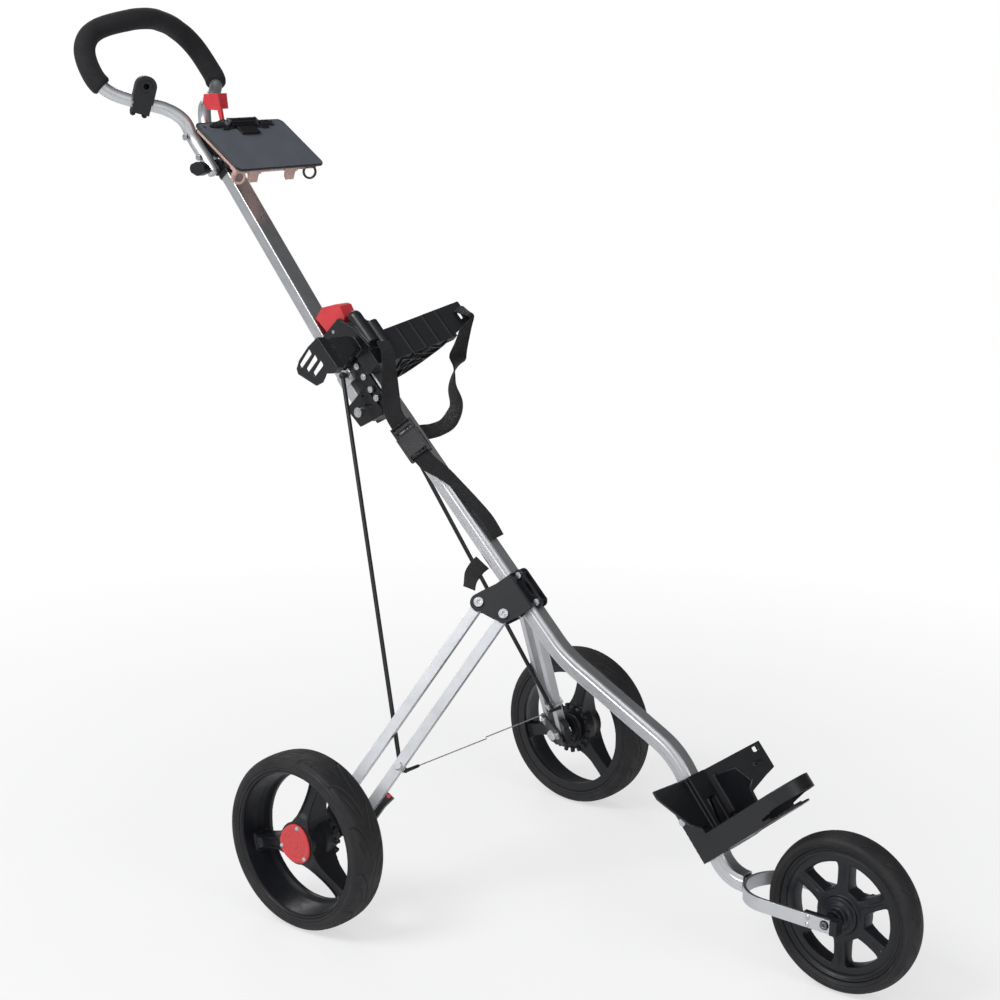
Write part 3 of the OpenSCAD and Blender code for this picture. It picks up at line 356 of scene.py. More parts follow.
ALU_MAIN = anodised("alu_main", MAIN_ALONG)
ALU_UPPER = anodised("alu_upper", tilted_axes(49.4)[0], colour=(0.69, 0.70, 0.72), rough=0.3)
ALU_FORK = anodised("alu_fork", X_AXIS)
ALU_HANDLE = anodised("alu_handle", (0.3, 0.9, 0.2), lines=0.4)
STEEL = steel("steel_zinc")
STEEL_DARK = steel("steel_dark", (0.2, 0.2, 0.22), rough=0.35)
BLACK_LOOK = dict(colour=(0.0085, 0.009, 0.012), rough=0.40, specular=0.42)
BLACK = moulded("plastic_black", **BLACK_LOOK)
BLACK_SATIN = moulded("plastic_satin", (0.007, 0.007, 0.009), rough=0.33, specular=0.45,
                      grain=2200, depth=0.00003)
RIM = moulded("plastic_rim", (0.008, 0.0085, 0.012), rough=0.38, specular=0.42, bevel=0.0,
              depth=0.00005)
CRADLE = moulded("plastic_cradle", (0.008, 0.0085, 0.011), rough=0.33, specular=0.5, bevel=0.0,
                 depth=0.00007)
RED_WORN = (0.85, 0.3, 0.3)
RED = moulded("plastic_red", (0.66, 0.045, 0.055), rough=0.34, specular=0.5, variation=0.08,
              wear=0.4, worn=RED_WORN, subsurface=0.12, depth=0.00004)
RED_CAP = moulded("cap_red", (0.62, 0.05, 0.055), rough=0.42, specular=0.45, variation=0.07,
                  wear=0.3, worn=RED_WORN, grain=2600, depth=0.00004)
SLATE = moulded("lid_slate", (0.100, 0.108, 0.130), rough=0.36, specular=0.5, variation=0.08,
                wear=0.2, grain=1500, depth=0.00007)
LID_EDGE = moulded("lid_edge", (0.012, 0.012, 0.015), rough=0.35, specular=0.45)
TRAY = translucent("tray_tinted", (0.78, 0.53, 0.47))
RUBBER = rubber("tyre_rubber")
FOAM = foam("grip_foam")
WEB = webbing("webbing")


# ------------------------------------------------------------------ curves
def unit(vector):
    return vector / np.linalg.norm(vector)


def clamp(value):
    return min(1, max(0, value))


def smooth_step(value, start, end):
    t = clamp((value - start) / (end - start))
    return t * t * (3 - 2 * t)


def smooth_path(points, steps):
    """Catmull-Rom curve through the points, with this many steps per span."""
    points = np.asarray(points, float)
    last = len(points) - 1
    out = []
    for i in range(last):
        a, b, c, d = points[[max(0, i - 1), i, i + 1, min(last, i + 2)]]
        for j in range(steps):
            t = j / steps
            out.append(0.5 * (2 * b + (c - a) * t + (2 * a - 5 * b + 4 * c - d) * t * t
                              + (3 * b - a - 3 * c + d) * t ** 3))
    out.append(points[-1])
    return np.array(out)


def tangents(path):
    slopes = np.gradient(path, axis=0)
    return slopes / np.linalg.norm(slopes, axis=1)[:, None]


def arc_lengths(path):
    return np.concatenate([[0], np.cumsum(np.linalg.norm(np.diff(path, axis=0), axis=1))])


def resample(points, step):
    points = np.asarray(points, float)
    out = []
    for start, end in zip(points[:-1], points[1:]):
        count = max(1, int(round(np.linalg.norm(end - start) / step)))
        out += [start + (end - start) * i / count for i in range(count)]
    out.append(points[-1])
    return np.array(out)


# ------------------------------------------------------------------ shells: (points, faces)
def grid_faces(rows, columns, closed=False):
    """Quads between rows of points; columns always wrap, rows only if closed."""
    faces = []
    for i in range(rows if closed else rows - 1):
        a, b = i * columns, ((i + 1) % rows) * columns
        for j in range(columns):
            k = (j + 1) % columns
            faces.append((a + j, b + j, b + k, a + k))
    return faces


def end_caps(rows, columns, flip=False):
    """Faces over the first and last row; flip turns both over."""
    first = tuple(range(columns))[::-1]
    last = tuple((rows - 1) * columns + j for j in range(columns))
    return [first[::-1], last[::-1]] if flip else [first, last]


def prism(near, far, flip=False):
    """Solid between two matching outlines."""
    count = len(near)
    sides = [(i, (i + 1) % count, count + (i + 1) % count, count + i) for i in range(count)]
    return np.array(near + far), end_caps(2, count, flip) + sides


def lathe(section, count):
    """Ring of a closed (radius, z) section about Z."""
    section = np.asarray(section, float)
    turns = np.linspace(0, 2 * math.pi, count, endpoint=False)
    points = np.stack([np.outer(np.cos(turns), section[:, 0]),
                       np.outer(np.sin(turns), section[:, 0]),
                       np.tile(section[:, 1], (count, 1))], -1)
    return points.reshape(-1, 3), grid_faces(count, len(section), closed=True)


def tube(path, radius, reference, sides):
    """Capped sweep of a circle; radius may be one number per point."""
    forward = tangents(path)
    radius = np.broadcast_to(np.asarray(radius, float), (len(path),))
    u = np.cross(reference, forward)
    u /= np.linalg.norm(u, axis=1)[:, None]
    v = np.cross(forward, u)
    turns = np.linspace(0, 2 * math.pi, sides, endpoint=False)
    rings = path[:, None] + radius[:, None, None] * (
        np.cos(turns)[None, :, None] * u[:, None] + np.sin(turns)[None, :, None] * v[:, None])
    count = len(path)
    points = np.vstack([rings.reshape(-1, 3), path[:1], path[-1:]])
    start, end = count * sides, count * sides + 1
    last = (count - 1) * sides
    faces = grid_faces(count, sides)
    faces += [(start, (j + 1) % sides, j) for j in range(sides)]
    faces += [(end, last + j, last + (j + 1) % sides) for j in range(sides)]
    return points, faces


def spin(points, degrees):
    """Turn points about Z."""
    angle = math.radians(degrees)
    cos, sin = math.cos(angle), math.sin(angle)
    return points @ np.array([[cos, -sin, 0], [sin, cos, 0], [0, 0, 1]]).T


def box(centre, half_size, degrees=0.0):
    """Box, then turned about Z through the origin."""
    corners = [[x, y, z] for x in (-1, 1) for y in (-1, 1) for z in (-1, 1)]
    points = np.array(corners, float) * half_size + centre
    faces = [(0, 1, 3, 2), (4, 6, 7, 5), (0, 4, 5, 1), (2, 3, 7, 6), (0, 2, 6, 4), (1, 5, 7, 3)]
    return spin(points, degrees), faces


def block(low, high):
    """Box between two opposite corners."""
    low, high = np.array(low, float), np.array(high, float)
    return box((low + high) / 2, (high - low) / 2)


def ring(centre, outer, inner, height, roll=0, tilt=0):
    """Flat ring rolled about X, then tilted about Y."""
    half = height / 2
    points, faces = lathe([[inner, -half], [outer, -half], [outer, half], [inner, half]], 48)
    x, y, z = points.T
    cos, sin = math.cos(math.radians(roll)), math.sin(math.radians(roll))
    y, z = y * cos - z * sin, y * sin + z * cos
    cos, sin = math.cos(math.radians(tilt)), math.sin(math.radians(tilt))
    return np.stack([x * cos + z * sin, y, -x * sin + z * cos], 1) + centre, faces


def merge(shells):
    all_points, all_faces, offset = [], [], 0
    for points, faces in shells:
        all_points.append(np.asarray(points, float))
        all_faces += [tuple(i + offset for i in face) for face in faces]
        offset += len(points)
    return np.vstack(all_points), all_faces


# ------------------------------------------------------------------ objects
def face_outward(ob):
    mesh = bmesh.new()
    mesh.from_mesh(ob.data)
    bmesh.ops.recalc_face_normals(mesh, faces=mesh.faces)
    mesh.to_mesh(ob.data)
    mesh.free()
    ob.data.update()


def shade_smooth(mesh):
    mesh.polygons.foreach_set("use_smooth", [True] * len(mesh.polygons))


def make_object(name, points, faces, uvs=None):
    """Smooth-shaded object from points in mm, its faces turned outward."""
    mesh = bpy.data.meshes.new(name)
    mesh.from_pydata((np.asarray(points, float) / MM).tolist(), [], faces)
    mesh.validate()
    mesh.update()
    if uvs is not None:
        layer = mesh.uv_layers.new(name="UVMap")
        corners = np.zeros(len(mesh.loops), int)
        mesh.loops.foreach_get("vertex_index", corners)
        corner_uvs = np.asarray(uvs, float)[corners]
        layer.data.foreach_set("uv", corner_uvs.astype(np.float32).ravel())
    shade_smooth(mesh)
    ob = bpy.data.objects.new(name, mesh)
    scene.collection.objects.link(ob)
    face_outward(ob)
    return ob


def add_rounding(ob, voxel, rounds):
    """Modifiers that fuse overlapping shells and round every edge."""
    remesh = ob.modifiers.new("round", "REMESH")
    remesh.mode = "VOXEL"
    remesh.voxel_size = voxel / MM
    remesh.use_smooth_shade = True
    relax = ob.modifiers.new("relax", "SMOOTH")
    relax.factor = 0.5
    relax.iterations = rounds


def apply_modifiers(ob):
    depsgraph = bpy.context.evaluated_depsgraph_get()
    mesh = bpy.data.meshes.new_from_object(ob.evaluated_get(depsgraph))
    ob.modifiers.clear()
    ob.data = mesh


def make_fused(name, shells, voxel, rounds):
    """Rounded union of closed shells."""
    ob = make_object(name, *merge(shells))
    add_rounding(ob, voxel, rounds)
    apply_modifiers(ob)
    shade_smooth(ob.data)
    return ob


def read_mesh(ob):
    """Points in mm, and faces."""
    points = np.zeros(len(ob.data.vertices) * 3)
    ob.data.vertices.foreach_get("co", points)
    return points.reshape(-1, 3) * MM, [tuple(face.vertices) for face in ob.data.polygons]


def move_points(ob, place):
    points = place(read_mesh(ob)[0]) / MM
    ob.data.vertices.foreach_set("co", points.astype(np.float32).ravel())


def dress(ob, finish, node, replaces=True):
    """Give an object its finish and the body of a CAD node, which it may replace."""
    ob.data.materials.append(finish.owner)
    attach(ob, BODY[node])
    if replaces:
        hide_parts(node)


# ------------------------------------------------------------------ tyres
# half sections: radius, z; from the inner edge to the crown
REAR_TYRE_HALF = [
    [99, 25.2], [100.5, 25.9], [102.2, 26.2], [102.8, 25.7], [103.6, 26.6], [106.5, 27.0],
    [109, 26.9], [111, 26.1], [112.6, 24.7], [113.4, 23.3], [114.0, 22.6], [115.4, 20.8],
    [116.5, 17.5], [117.3, 12.5], [117.8, 7], [REAR_RADIUS, 0]]
FRONT_TYRE_HALF = [
    [85, 14.2], [86.5, 15.6], [88.5, 17.2], [89.3, 16.9], [90.2, 18.1], [92.5, 18.8],
    [94.5, 18.9], [96.0, 18.1], [97.0, 16.9], [97.7, 16.4], [98.9, 14.3], [100.1, 11],
    [101.2, 6.5], [101.8, 3.2], [FRONT_RADIUS, 0]]
# grooves: points (distance round the tread, z), width at the start, width at the end
REAR_GROOVES = [
    ([(0, 1.5), (17, 3.8), (34, 7.8), (46, 12.6), (52, 17.5), (52.5, 22)], 0.6, 2.4),
    ([(8, 11), (21, 13.4), (32, 17.4)], 0.5, 1.6)]
FRONT_GROOVES = [
    ([(0, 2.0), (12, 4.0), (22, 8.0), (27, 12.5)], 0.3, 1.3),
    ([(16, 1.0), (28, 2.6)], 0.3, 0.8)]


def groove_segments(grooves, pitch):
    """Straight pieces (start, end, widths); the other half's are offset by half a pitch."""
    segments = []
    for sign, shift in ((1, 0.0), (-1, 0.5)):
        for points, width, end_width in grooves:
            line = smooth_path([(shift * pitch + x, sign * z) for x, z in points], 4)
            count = len(line) - 1
            grow = end_width - width
            segments += [(*line[i], *line[i + 1], width + grow * i / count,
                          width + grow * (i + 1) / count) for i in range(count)]
    return segments


def groove_depth(around, z, segments, pitch):
    """0 on the tread to 1 in a groove."""
    depth = np.zeros_like(around)
    for x0, z0, x1, z1, width0, width1 in segments:
        middle = (x0 + x1) / 2
        x = (around - middle + pitch / 2) % pitch - pitch / 2 + middle
        dx, dz = x1 - x0, z1 - z0
        t = np.clip(((x - x0) * dx + (z - z0) * dz) / (dx * dx + dz * dz), 0, 1)
        distance = np.hypot(x - x0 - t * dx, z - z0 - t * dz)
        width = width0 + (width1 - width0) * t
        inside = np.clip((width / 2 + 0.55 - distance) / 0.9, 0, 1)
        depth = np.maximum(depth, inside * inside * (3 - 2 * inside))
    return depth


def tyre(half_section, radius, segments, step, depth, grooves, repeats):
    half = smooth_path(half_section, 3)
    section = resample(np.vstack([half, (half * [1, -1])[::-1][1:]]), step)
    turns = np.linspace(0, 2 * math.pi, segments, endpoint=False)
    radii = np.tile(section[:, 0], (segments, 1))
    z = np.tile(section[:, 1], (segments, 1))
    around = np.outer(turns * radius, np.ones(len(section)))
    pitch = 2 * math.pi * radius / repeats
    cut = groove_depth(around, z, groove_segments(grooves, pitch), pitch)
    tread = np.clip((radii - (radius - 9)) / 3.0, 0, 1)  # fades out down the sidewall
    radii = radii - cut * depth * tread
    points = np.stack([np.cos(turns)[:, None] * radii, np.sin(turns)[:, None] * radii, z], -1)
    return points.reshape(-1, 3), grid_faces(segments, len(section), closed=True)


def build_tyres():
    points, faces = tyre(REAR_TYRE_HALF, REAR_RADIUS, segments=800, step=0.95, depth=1.5,
                         grooves=REAR_GROOVES, repeats=12)
    for side, tag in SIDES:
        ob = make_object(f"rear_tyre_{tag}_tread", on_rear_wheel(points, side), faces)
        dress(ob, RUBBER, f"rear_tyre_{tag}")
    points, faces = tyre(FRONT_TYRE_HALF, FRONT_RADIUS, segments=720, step=0.9, depth=0.8,
                         grooves=FRONT_GROOVES, repeats=18)
    ob = make_object("front_tyre_tread", on_front_wheel(points), faces)
    dress(ob, RUBBER, "front_tyre")


# ------------------------------------------------------------------ rear rims and hub caps
# sections: radius, z
REAR_BARREL = [
    [98.85, -24.5], [98.85, 24.6], [97.6, 25.2], [96.2, 24.8], [95.4, 22.6], [94.4, 21.4],
    [93.6, 8], [92.6, -2], [90.2, -12], [87.5, -16.5], [86, -18.5], [86, -24.5]]
REAR_HUB = [
    [6.1, -26], [19, -26], [20, -25], [20, -22.2], [31.5, -22], [33, -20.5], [33, -4], [30, 3],
    [27.6, 9], [27.4, 14], [28.8, 16.4], [28.8, 18.2], [11.2, 18.2], [11.2, 10.4], [6.1, 10.4]]
# spoke: radius, half width
SPOKE_WIDTHS = np.array([(14, 20), (22, 17), (28, 13.5), (36, 10.2), (46, 8.2), (58, 7.6),
                         (70, 7.9), (80, 8.6), (88, 9.8), (96, 12)], float)
# turned rings of the cap's outer face, then its rim and back: radius, z
HUB_CAP_RINGS = [
    (0.0, 21.5), (3, 21.5), (8.0, 21.5), (8.5, 21.15), (9.0, 21.5), (13.6, 21.55), (14.1, 21.2),
    (14.6, 21.6), (19.0, 21.7), (19.5, 21.3), (20.0, 21.75), (25.6, 21.9), (27.2, 21.8),
    (28.2, 21.2), (HUB_CAP_RADIUS, 20.4), (HUB_CAP_RADIUS, 18.6), (27.5, 18.5), (0.0, 18.5)]


def rear_spoke(degrees, rows=30, draft=0.06):
    """Deep spoke with a hollow between two raised edges on its outer face."""
    points = []
    for r in np.linspace(14, 95.2, rows):
        width = np.interp(r, SPOKE_WIDTHS[:, 0], SPOKE_WIDTHS[:, 1])
        outer = 17.2 - 12.5 * smooth_step(r, 24, 86)
        inner = -20 + 3 * smooth_step(r, 30, 60)
        hollow = 4.2 * smooth_step(r, 33, 44) * (1 - smooth_step(r, 84, 90))
        root = width + draft * (outer - inner)
        lip = min(2.6, width * 0.45)
        profile = [
            (-root, inner), (-width, outer - 1.2), (-width + 0.8, outer),
            (-width + lip - 0.6, outer), (-width + lip + 0.4, outer - hollow),
            (width - lip - 0.4, outer - hollow), (width - lip + 0.6, outer),
            (width - 0.8, outer), (width, outer - 1.2), (root, inner)]
        points += [(r, y, z) for y, z in profile]
    columns = len(profile)
    faces = grid_faces(rows, columns) + end_caps(rows, columns)
    return spin(np.array(points), degrees), faces


def build_rear_rims():
    shells = [lathe(REAR_BARREL, 180), lathe(REAR_HUB, 96)]
    for i in range(REAR_SPOKES):
        shells.append(rear_spoke(REAR_SPOKE_ANGLE + 360 // REAR_SPOKES * i))
    for i in range(18):  # teeth round the inner end of the hub
        shells.append(box((34, 0, -22), (4, 2.6, 3), 20 * i))
    pattern = make_fused("rear_rim_pattern", shells, voxel=1.05, rounds=3)
    points, faces = read_mesh(pattern)
    bpy.data.objects.remove(pattern)
    for side, tag in SIDES:
        # the winding fixes each quad's first corner, and so how it splits
        wound = faces if side < 0 else [face[::-1] for face in faces]
        ob = make_object(f"rear_rim_{tag}_cast", on_rear_wheel(points, side), wound)
        face_outward(ob)
        dress(ob, RIM, f"rear_rim_{tag}")


def build_hub_caps(sides=144):
    """Soft three-lobed discs with turned rings."""
    turns = np.linspace(0, 2 * math.pi, sides, endpoint=False)
    rows = HUB_CAP_RINGS[1:-1]
    points = [np.array([[0, 0, HUB_CAP_RINGS[0][1]]])]
    for radius, z in rows:
        k = radius / HUB_CAP_RADIUS
        lobe = k ** 3 * np.cos(3 * (turns - math.radians(REAR_SPOKE_ANGLE)))
        r = 0.94 * radius + lobe - 0.6 * k ** 3
        points.append(np.stack([r * np.cos(turns), r * np.sin(turns), np.full(sides, z)], 1))
    points = np.vstack(points + [np.array([[0, 0, HUB_CAP_RINGS[-1][1]]])])
    end = len(points) - 1
    back = 1 + (len(rows) - 1) * sides
    faces = [(0, 1 + j, 1 + (j + 1) % sides) for j in range(sides)]
    faces += [tuple(1 + i for i in face) for face in grid_faces(len(rows), sides)]
    faces += [(end, back + (j + 1) % sides, back + j) for j in range(sides)]
    for side, tag in SIDES:
        ob = make_object(f"hub_cap_{tag}_disc", on_rear_wheel(points, side), faces)
        dress(ob, RED_CAP, f"hub_cap_{tag}")


# ------------------------------------------------------------------ front rim and axle
# sections: radius, z
FRONT_WEB = [
    [20, -12.5], [20, 12.5], [30, 11.8], [42, 9.6], [58, 8.8], [64, 9.6], [70, 11.2], [75, 10.8],
    [78.5, 9.0], [81, 10.4], [82.5, 12.6], [84.8, 12.8], [84.8, -12.8], [82.5, -12.6],
    [81, -10.4], [78.5, -9.0], [75, -10.8], [70, -11.2], [64, -9.6], [58, -8.8], [42, -9.6],
    [30, -11.8]]
FRONT_HUB = [
    [4.15, -29.5], [10.6, -29.5], [11, -29], [11.2, -21], [17, -20], [18, -17.5], [23.6, -17],
    [24.6, -16], [24.6, 16], [23.6, 17], [18, 17.5], [17, 20], [11.2, 21], [11, 29],
    [10.6, 29.5], [4.15, 29.5]]
FRONT_AXLE = [
    [1.7, -52.8], [4.6, -52.8], [5.0, -52.3], [5.0, -50.3], [3.9, -50.2], [3.9, 50.2],
    [5.0, 50.3], [5.0, 52.3], [4.6, 52.8], [1.7, 52.8]]


def window(inner, outer, spoke_half, half_depth, degrees):
    """Rounded prism that fills the gap between two spokes, wider towards the faces."""
    def arc(radius, count):
        limit = math.radians(180 / FRONT_SPOKES) - math.asin(spoke_half / radius)
        return [(radius * math.cos(t), radius * math.sin(t))
                for t in np.linspace(-limit, limit, count)]

    outline = np.array(arc(inner, 7) + arc(outer, 13)[::-1])
    centre = outline.mean(0)
    for _ in range(2):  # corner cutting
        pairs = list(zip(outline, np.roll(outline, -1, 0)))
        outline = np.array([point for a, b in pairs
                            for point in (0.75 * a + 0.25 * b, 0.25 * a + 0.75 * b)])
    count = len(outline)
    layers = ((-half_depth, 1.12), (-3, 1.0), (3, 1.0), (half_depth, 1.12))  # z, widening
    points = np.vstack([np.hstack([centre + (outline - centre) * k, np.full((count, 1), z)])
                        for z, k in layers])
    return spin(points, degrees), grid_faces(4, count) + end_caps(4, count)


def build_front_rim():
    """Thick web with six rounded windows, a hub and a rib down each spoke."""
    step = 360 // FRONT_SPOKES
    disc = make_object("front_web", *lathe(FRONT_WEB, 144))
    cutter = make_object("front_windows", *merge([
        window(inner=34.5, outer=66, spoke_half=9.0, half_depth=16, degrees=step * i)
        for i in range(FRONT_SPOKES)]))
    boolean = disc.modifiers.new("windows", "BOOLEAN")
    boolean.operation = "DIFFERENCE"
    boolean.object = cutter
    boolean.solver = "EXACT"
    apply_modifiers(disc)
    bpy.data.objects.remove(cutter)
    shells = [read_mesh(disc), lathe(FRONT_HUB, 96)]
    shells += [box((45, 0, 0), (22, 1.6, 11.4), step // 2 + step * i)
               for i in range(FRONT_SPOKES)]
    bpy.data.objects.remove(disc)
    rim = make_fused("front_rim_cast", shells, voxel=0.95, rounds=3)
    move_points(rim, on_front_wheel)
    face_outward(rim)
    dress(rim, RIM, "front_rim")


def build_front_axle():
    points, faces = lathe(FRONT_AXLE, 48)
    ob = make_object("front_axle_turned", on_front_wheel(points), faces)
    dress(ob, STEEL_DARK, "front_axle")


# ------------------------------------------------------------------ handle
# centre line of the right half in scene x, y, z, from the middle of the grip to the foot
HANDLE_HALF = [
    [-600, 0, 1149], [-602.7, -18.3, 1148], [-606.9, -33.7, 1145.2], [-611.1, -49.1, 1142],
    [-616, -64.6, 1137.6], [-619.4, -78, 1132], [-618.8, -92, 1123.5], [-613.9, -103.9, 1111],
    [-605.5, -111.2, 1096.5], [-591.8, -114.8, 1077.7], [-576, -113.6, 1059.6],
    [-561.7, -99.2, 1044], [-540, -68.2, 1031.8], [-519.6, -39, 1023], [-501, -21, 1007],
    [-490, -14, 983], [-478, -13, 968], [-466, -13, 956], [-452, -13, 940.5],
    [-446.5, -13, 934]]
HANDLE_STEPS = 8
HANDLE_REFERENCE = unit(np.array([0.96, 0, 0.27]))
GRIP_FROM = 8  # handle points before the stretch that holds the grip, at each end
GRIP_TRIM = 14.0  # cut off each end of that stretch


def build_handle():
    centres = np.array(HANDLE_HALF[::-1] + [[x, -y, z] for x, y, z in HANDLE_HALF[1:]])
    path = smooth_path(centres, HANDLE_STEPS)
    points, faces = tube(path, 9.5, HANDLE_REFERENCE, 36)
    ob = make_object("handle_tube_bent", points, faces)
    dress(ob, ALU_HANDLE, "handle_tube")

    first = GRIP_FROM * HANDLE_STEPS
    last = (len(centres) - 1 - GRIP_FROM) * HANDLE_STEPS
    grip = path[first:last + 1]
    length = arc_lengths(grip)
    grip = grip[(length > GRIP_TRIM) & (length < length[-1] - GRIP_TRIM)]
    length = arc_lengths(grip)
    from_end = np.minimum(length, length[-1] - length)
    # rounded ends, and a slight swell along the sleeve
    swell = 0.25 * (0.5 + 0.5 * np.sin(length / 17.0)) * np.clip(from_end / 20, 0, 1)
    radius = 15.5 - 2.2 * np.exp(-from_end / 1.6) - swell
    points, faces = tube(grip, radius, HANDLE_REFERENCE, 44)
    ob = make_object("foam_grip_sleeve", points, faces)
    dress(ob, FOAM, "foam_grip")


# ------------------------------------------------------------------ straps
# centre lines in the main tube's frame: along the tube, y, off the tube
LOOP_STRAP = [
    (-232, 134, 87.5), (-235, 146, 89.5), (-233, 156.5, 84), (-226, 159, 68),
    (-213, 157.5, 45), (-194, 152, 14), (-172, 139, -2), (-138, 118, -1), (-116, 88, -5),
    (-111, 60, -9), (-113, 36, -12), (-115, 16, -16.6), (-116, -2, -17.4), (-115, -13, -15.8)]
SHORT_STRAP = [
    (-230, -3, 53), (-212, -6, 50), (-190, -11, 38), (-165, -17, 23), (-142, -23.2, 13.4),
    (-124.5, -24.2, 11), (-113, -22.6, 10)]
TAIL_STRAP = [
    (-71, -22.4, 9.8), (-52, -20, 11.5), (-30, -12, 16), (-4, -5, 19), (28, 0, 21),
    (56, 3, 22), (84, 6, 17)]
STRAP_STUB = [(98, -8, -19), (100, -16, -25), (106, -24, -36), (116, -27, -48)]
# tape section: across and through, in half widths and half thicknesses
TAPE_SECTION = [
    (-1, -0.45), (-0.94, -1), (-0.5, -0.86), (0, -0.8), (0.5, -0.86), (0.94, -1), (1, -0.45),
    (1, 0.45), (0.94, 1), (0.5, 0.86), (0, 0.8), (-0.5, 0.86), (-0.94, 1), (-1, 0.45)]


def make_tape(name, stations, across, node, replaces=True):
    """Tape with rounded selvedges along smoothed stations; its UVs are in metres."""
    path = smooth_path(on_main(stations), 8)
    across = smooth_path(across, 8)
    forward = tangents(path)
    length = arc_lengths(path)
    points, uvs = [], []
    for i in range(len(path)):
        u = unit(across[i] - forward[i] * (across[i] @ forward[i]))
        w = np.cross(forward[i], u)
        for a, b in TAPE_SECTION:
            points.append(path[i] + a * TAPE_WIDTH / 2 * u + b * TAPE_THICKNESS / 2 * w)
            uvs.append((a * TAPE_WIDTH / 2000.0, length[i] / MM))
    rows, columns = len(path), len(TAPE_SECTION)
    faces = grid_faces(rows, columns) + end_caps(rows, columns, flip=True)
    dress(make_object(name, points, faces, uvs), WEB, node, replaces)


def loop_strap_across():
    """Width direction at each station of the loop, which twists and then lies along the tube."""
    start = unit(MAIN_ALONG - 0.3 * Y_AXIS + 0.5 * MAIN_NORMAL)
    side = unit(np.cross(Y_AXIS, MAIN_ALONG) + 0.4 * Y_AXIS)
    across = []
    for i in range(len(LOOP_STRAP)):
        part = i / (len(LOOP_STRAP) - 1)
        if part < 0.55:
            twist = math.radians(170 * clamp((part - 0.28) / 0.27))
            across.append(math.cos(twist) * start + math.sin(twist) * side)
        else:
            across.append(-unit(MAIN_ALONG + max(0.0, 0.75 - part) * 3.2 * MAIN_NORMAL))
    return np.array(across)


def rolled(part):
    """Width direction along Y, rolled by a part of 60 degrees towards the tube's normal."""
    angle = math.radians(60 * clamp(part))
    return math.cos(angle) * Y_AXIS + math.sin(angle) * MAIN_NORMAL


def build_straps():
    make_tape("strap_loop_web", LOOP_STRAP, loop_strap_across(), "strap_loop")
    across = [rolled(i / 5 * 2 - 0.6) for i in range(len(SHORT_STRAP))]
    make_tape("strap_short_web", SHORT_STRAP, across, "strap_short")
    across = [rolled(1 - i / 6 * 2.2) for i in range(len(TAIL_STRAP))]
    make_tape("strap_tail_web", TAIL_STRAP, across, "strap_tail")
    across = [unit(MAIN_ALONG - 0.25 * Y_AXIS)] * len(STRAP_STUB)
    make_tape("strap_stub_web", STRAP_STUB, across, "strap_tail", replaces=False)


# ------------------------------------------------------------------ tie cables
CABLE_ALONG, CABLE_ACROSS = 243.5, 11.2  # cable end along the leg and across it
STRANDS = 6
STRAND_LAY = 11.0  # length of one turn
BALL_RADIUS = 3.0
# crimped sleeve: distance from the cable's end, radius
SLEEVE = np.array([(2.6, 2.0), (3.0, 2.5), (9.0, 2.5), (9.3, 2.1), (10.0, 2.1), (10.3, 2.4),
                   (24.0, 2.2), (26.5, 1.7), (27.0, 1.0)])


def build_cables():
    """Laid strands from each leg to the middle, with a sleeve and ball at the leg."""
    cos, sin = math.cos(LEG_ANGLE), math.sin(LEG_ANGLE)
    end = leg_point(CABLE_ALONG * cos - CABLE_ACROSS * sin, CABLE_ALONG * sin + CABLE_ACROSS * cos)
    for side, tag in SIDES:
        # both are laid out on the right, passing each other at the middle
        middle = np.array([end[0] + side * 0.85, -0.15, end[2] - side * 0.85])
        mirror = [1, side, 1]
        forward = unit(middle - end)
        u = unit(np.cross(forward, X_AXIS))
        w = np.cross(forward, u)
        length = np.linalg.norm(middle - end)
        stations = np.linspace(3, length, int(length / 0.9))
        strands = []
        for i in range(STRANDS):
            phase = 2 * math.pi * stations / STRAND_LAY + i * math.pi / 3
            offset = 0.56 * (np.cos(phase)[:, None] * u + np.sin(phase)[:, None] * w)
            path = end + stations[:, None] * forward + offset
            strands.append(tube(path, 0.33, u * 0.2 + w, 6))
        strands.append(tube(end + np.array([3.0, length])[:, None] * forward, 0.3, u, 6))
        points, faces = merge(strands)
        ob = make_object(f"tie_cable_{tag}_strands", points * mirror, faces)
        dress(ob, STEEL, f"tie_cable_{tag}")

        sleeve = tube(end + SLEEVE[:, :1] * forward, SLEEVE[:, 1], u, 20)
        along = np.linspace(-2.95, 2.95, 13)
        radius = BALL_RADIUS * np.sqrt(np.maximum(0.02, 1 - (along / BALL_RADIUS) ** 2))
        ball = tube(end + along[:, None] * forward, radius, u, 20)
        points, faces = merge([sleeve, ball])
        ob = make_object(f"tie_cable_{tag}_end", points * mirror, faces)
        dress(ob, BLACK_SATIN, f"tie_cable_{tag}", replaces=False)


# ------------------------------------------------------------------ console
# floor, four walls, two dividers and a corner pad: opposite corners in the console's frame
TRAY_BLOCKS = [
    ((4, -78, -10), (100, 78, -8)), ((4, -78, -10), (6, 78, -1.4)),
    ((98, -78, -10), (100.5, 78, -1.4)), ((4, -78, -10), (100, -76, -1.4)),
    ((4, 76, -10), (100, 78, -1.4)), ((4, -27, -10), (100, -25.4, -1.8)),
    ((4, 25.4, -10), (100, 27, -1.8)), ((88, -83, -8.5), (102, -68, -1.6))]
# outlines in x, z of the tongues along the tray's front edge
END_TONGUE = [(96, -2), (96, -9), (101, -20), (104, -20), (101.5, -2)]
LONG_TONGUE = [(96, -1.6), (97, -10), (101, -19), (107, -22), (103.5, -10), (102.6, -1.6)]
WIDE_TONGUE = [(99, -1.6), (100, -8), (103.5, -10), (102.6, -1.6)]


def tongue(outline, y0, y1):
    return prism([(x, y0, z) for x, z in outline], [(x, y1, z) for x, z in outline], flip=True)


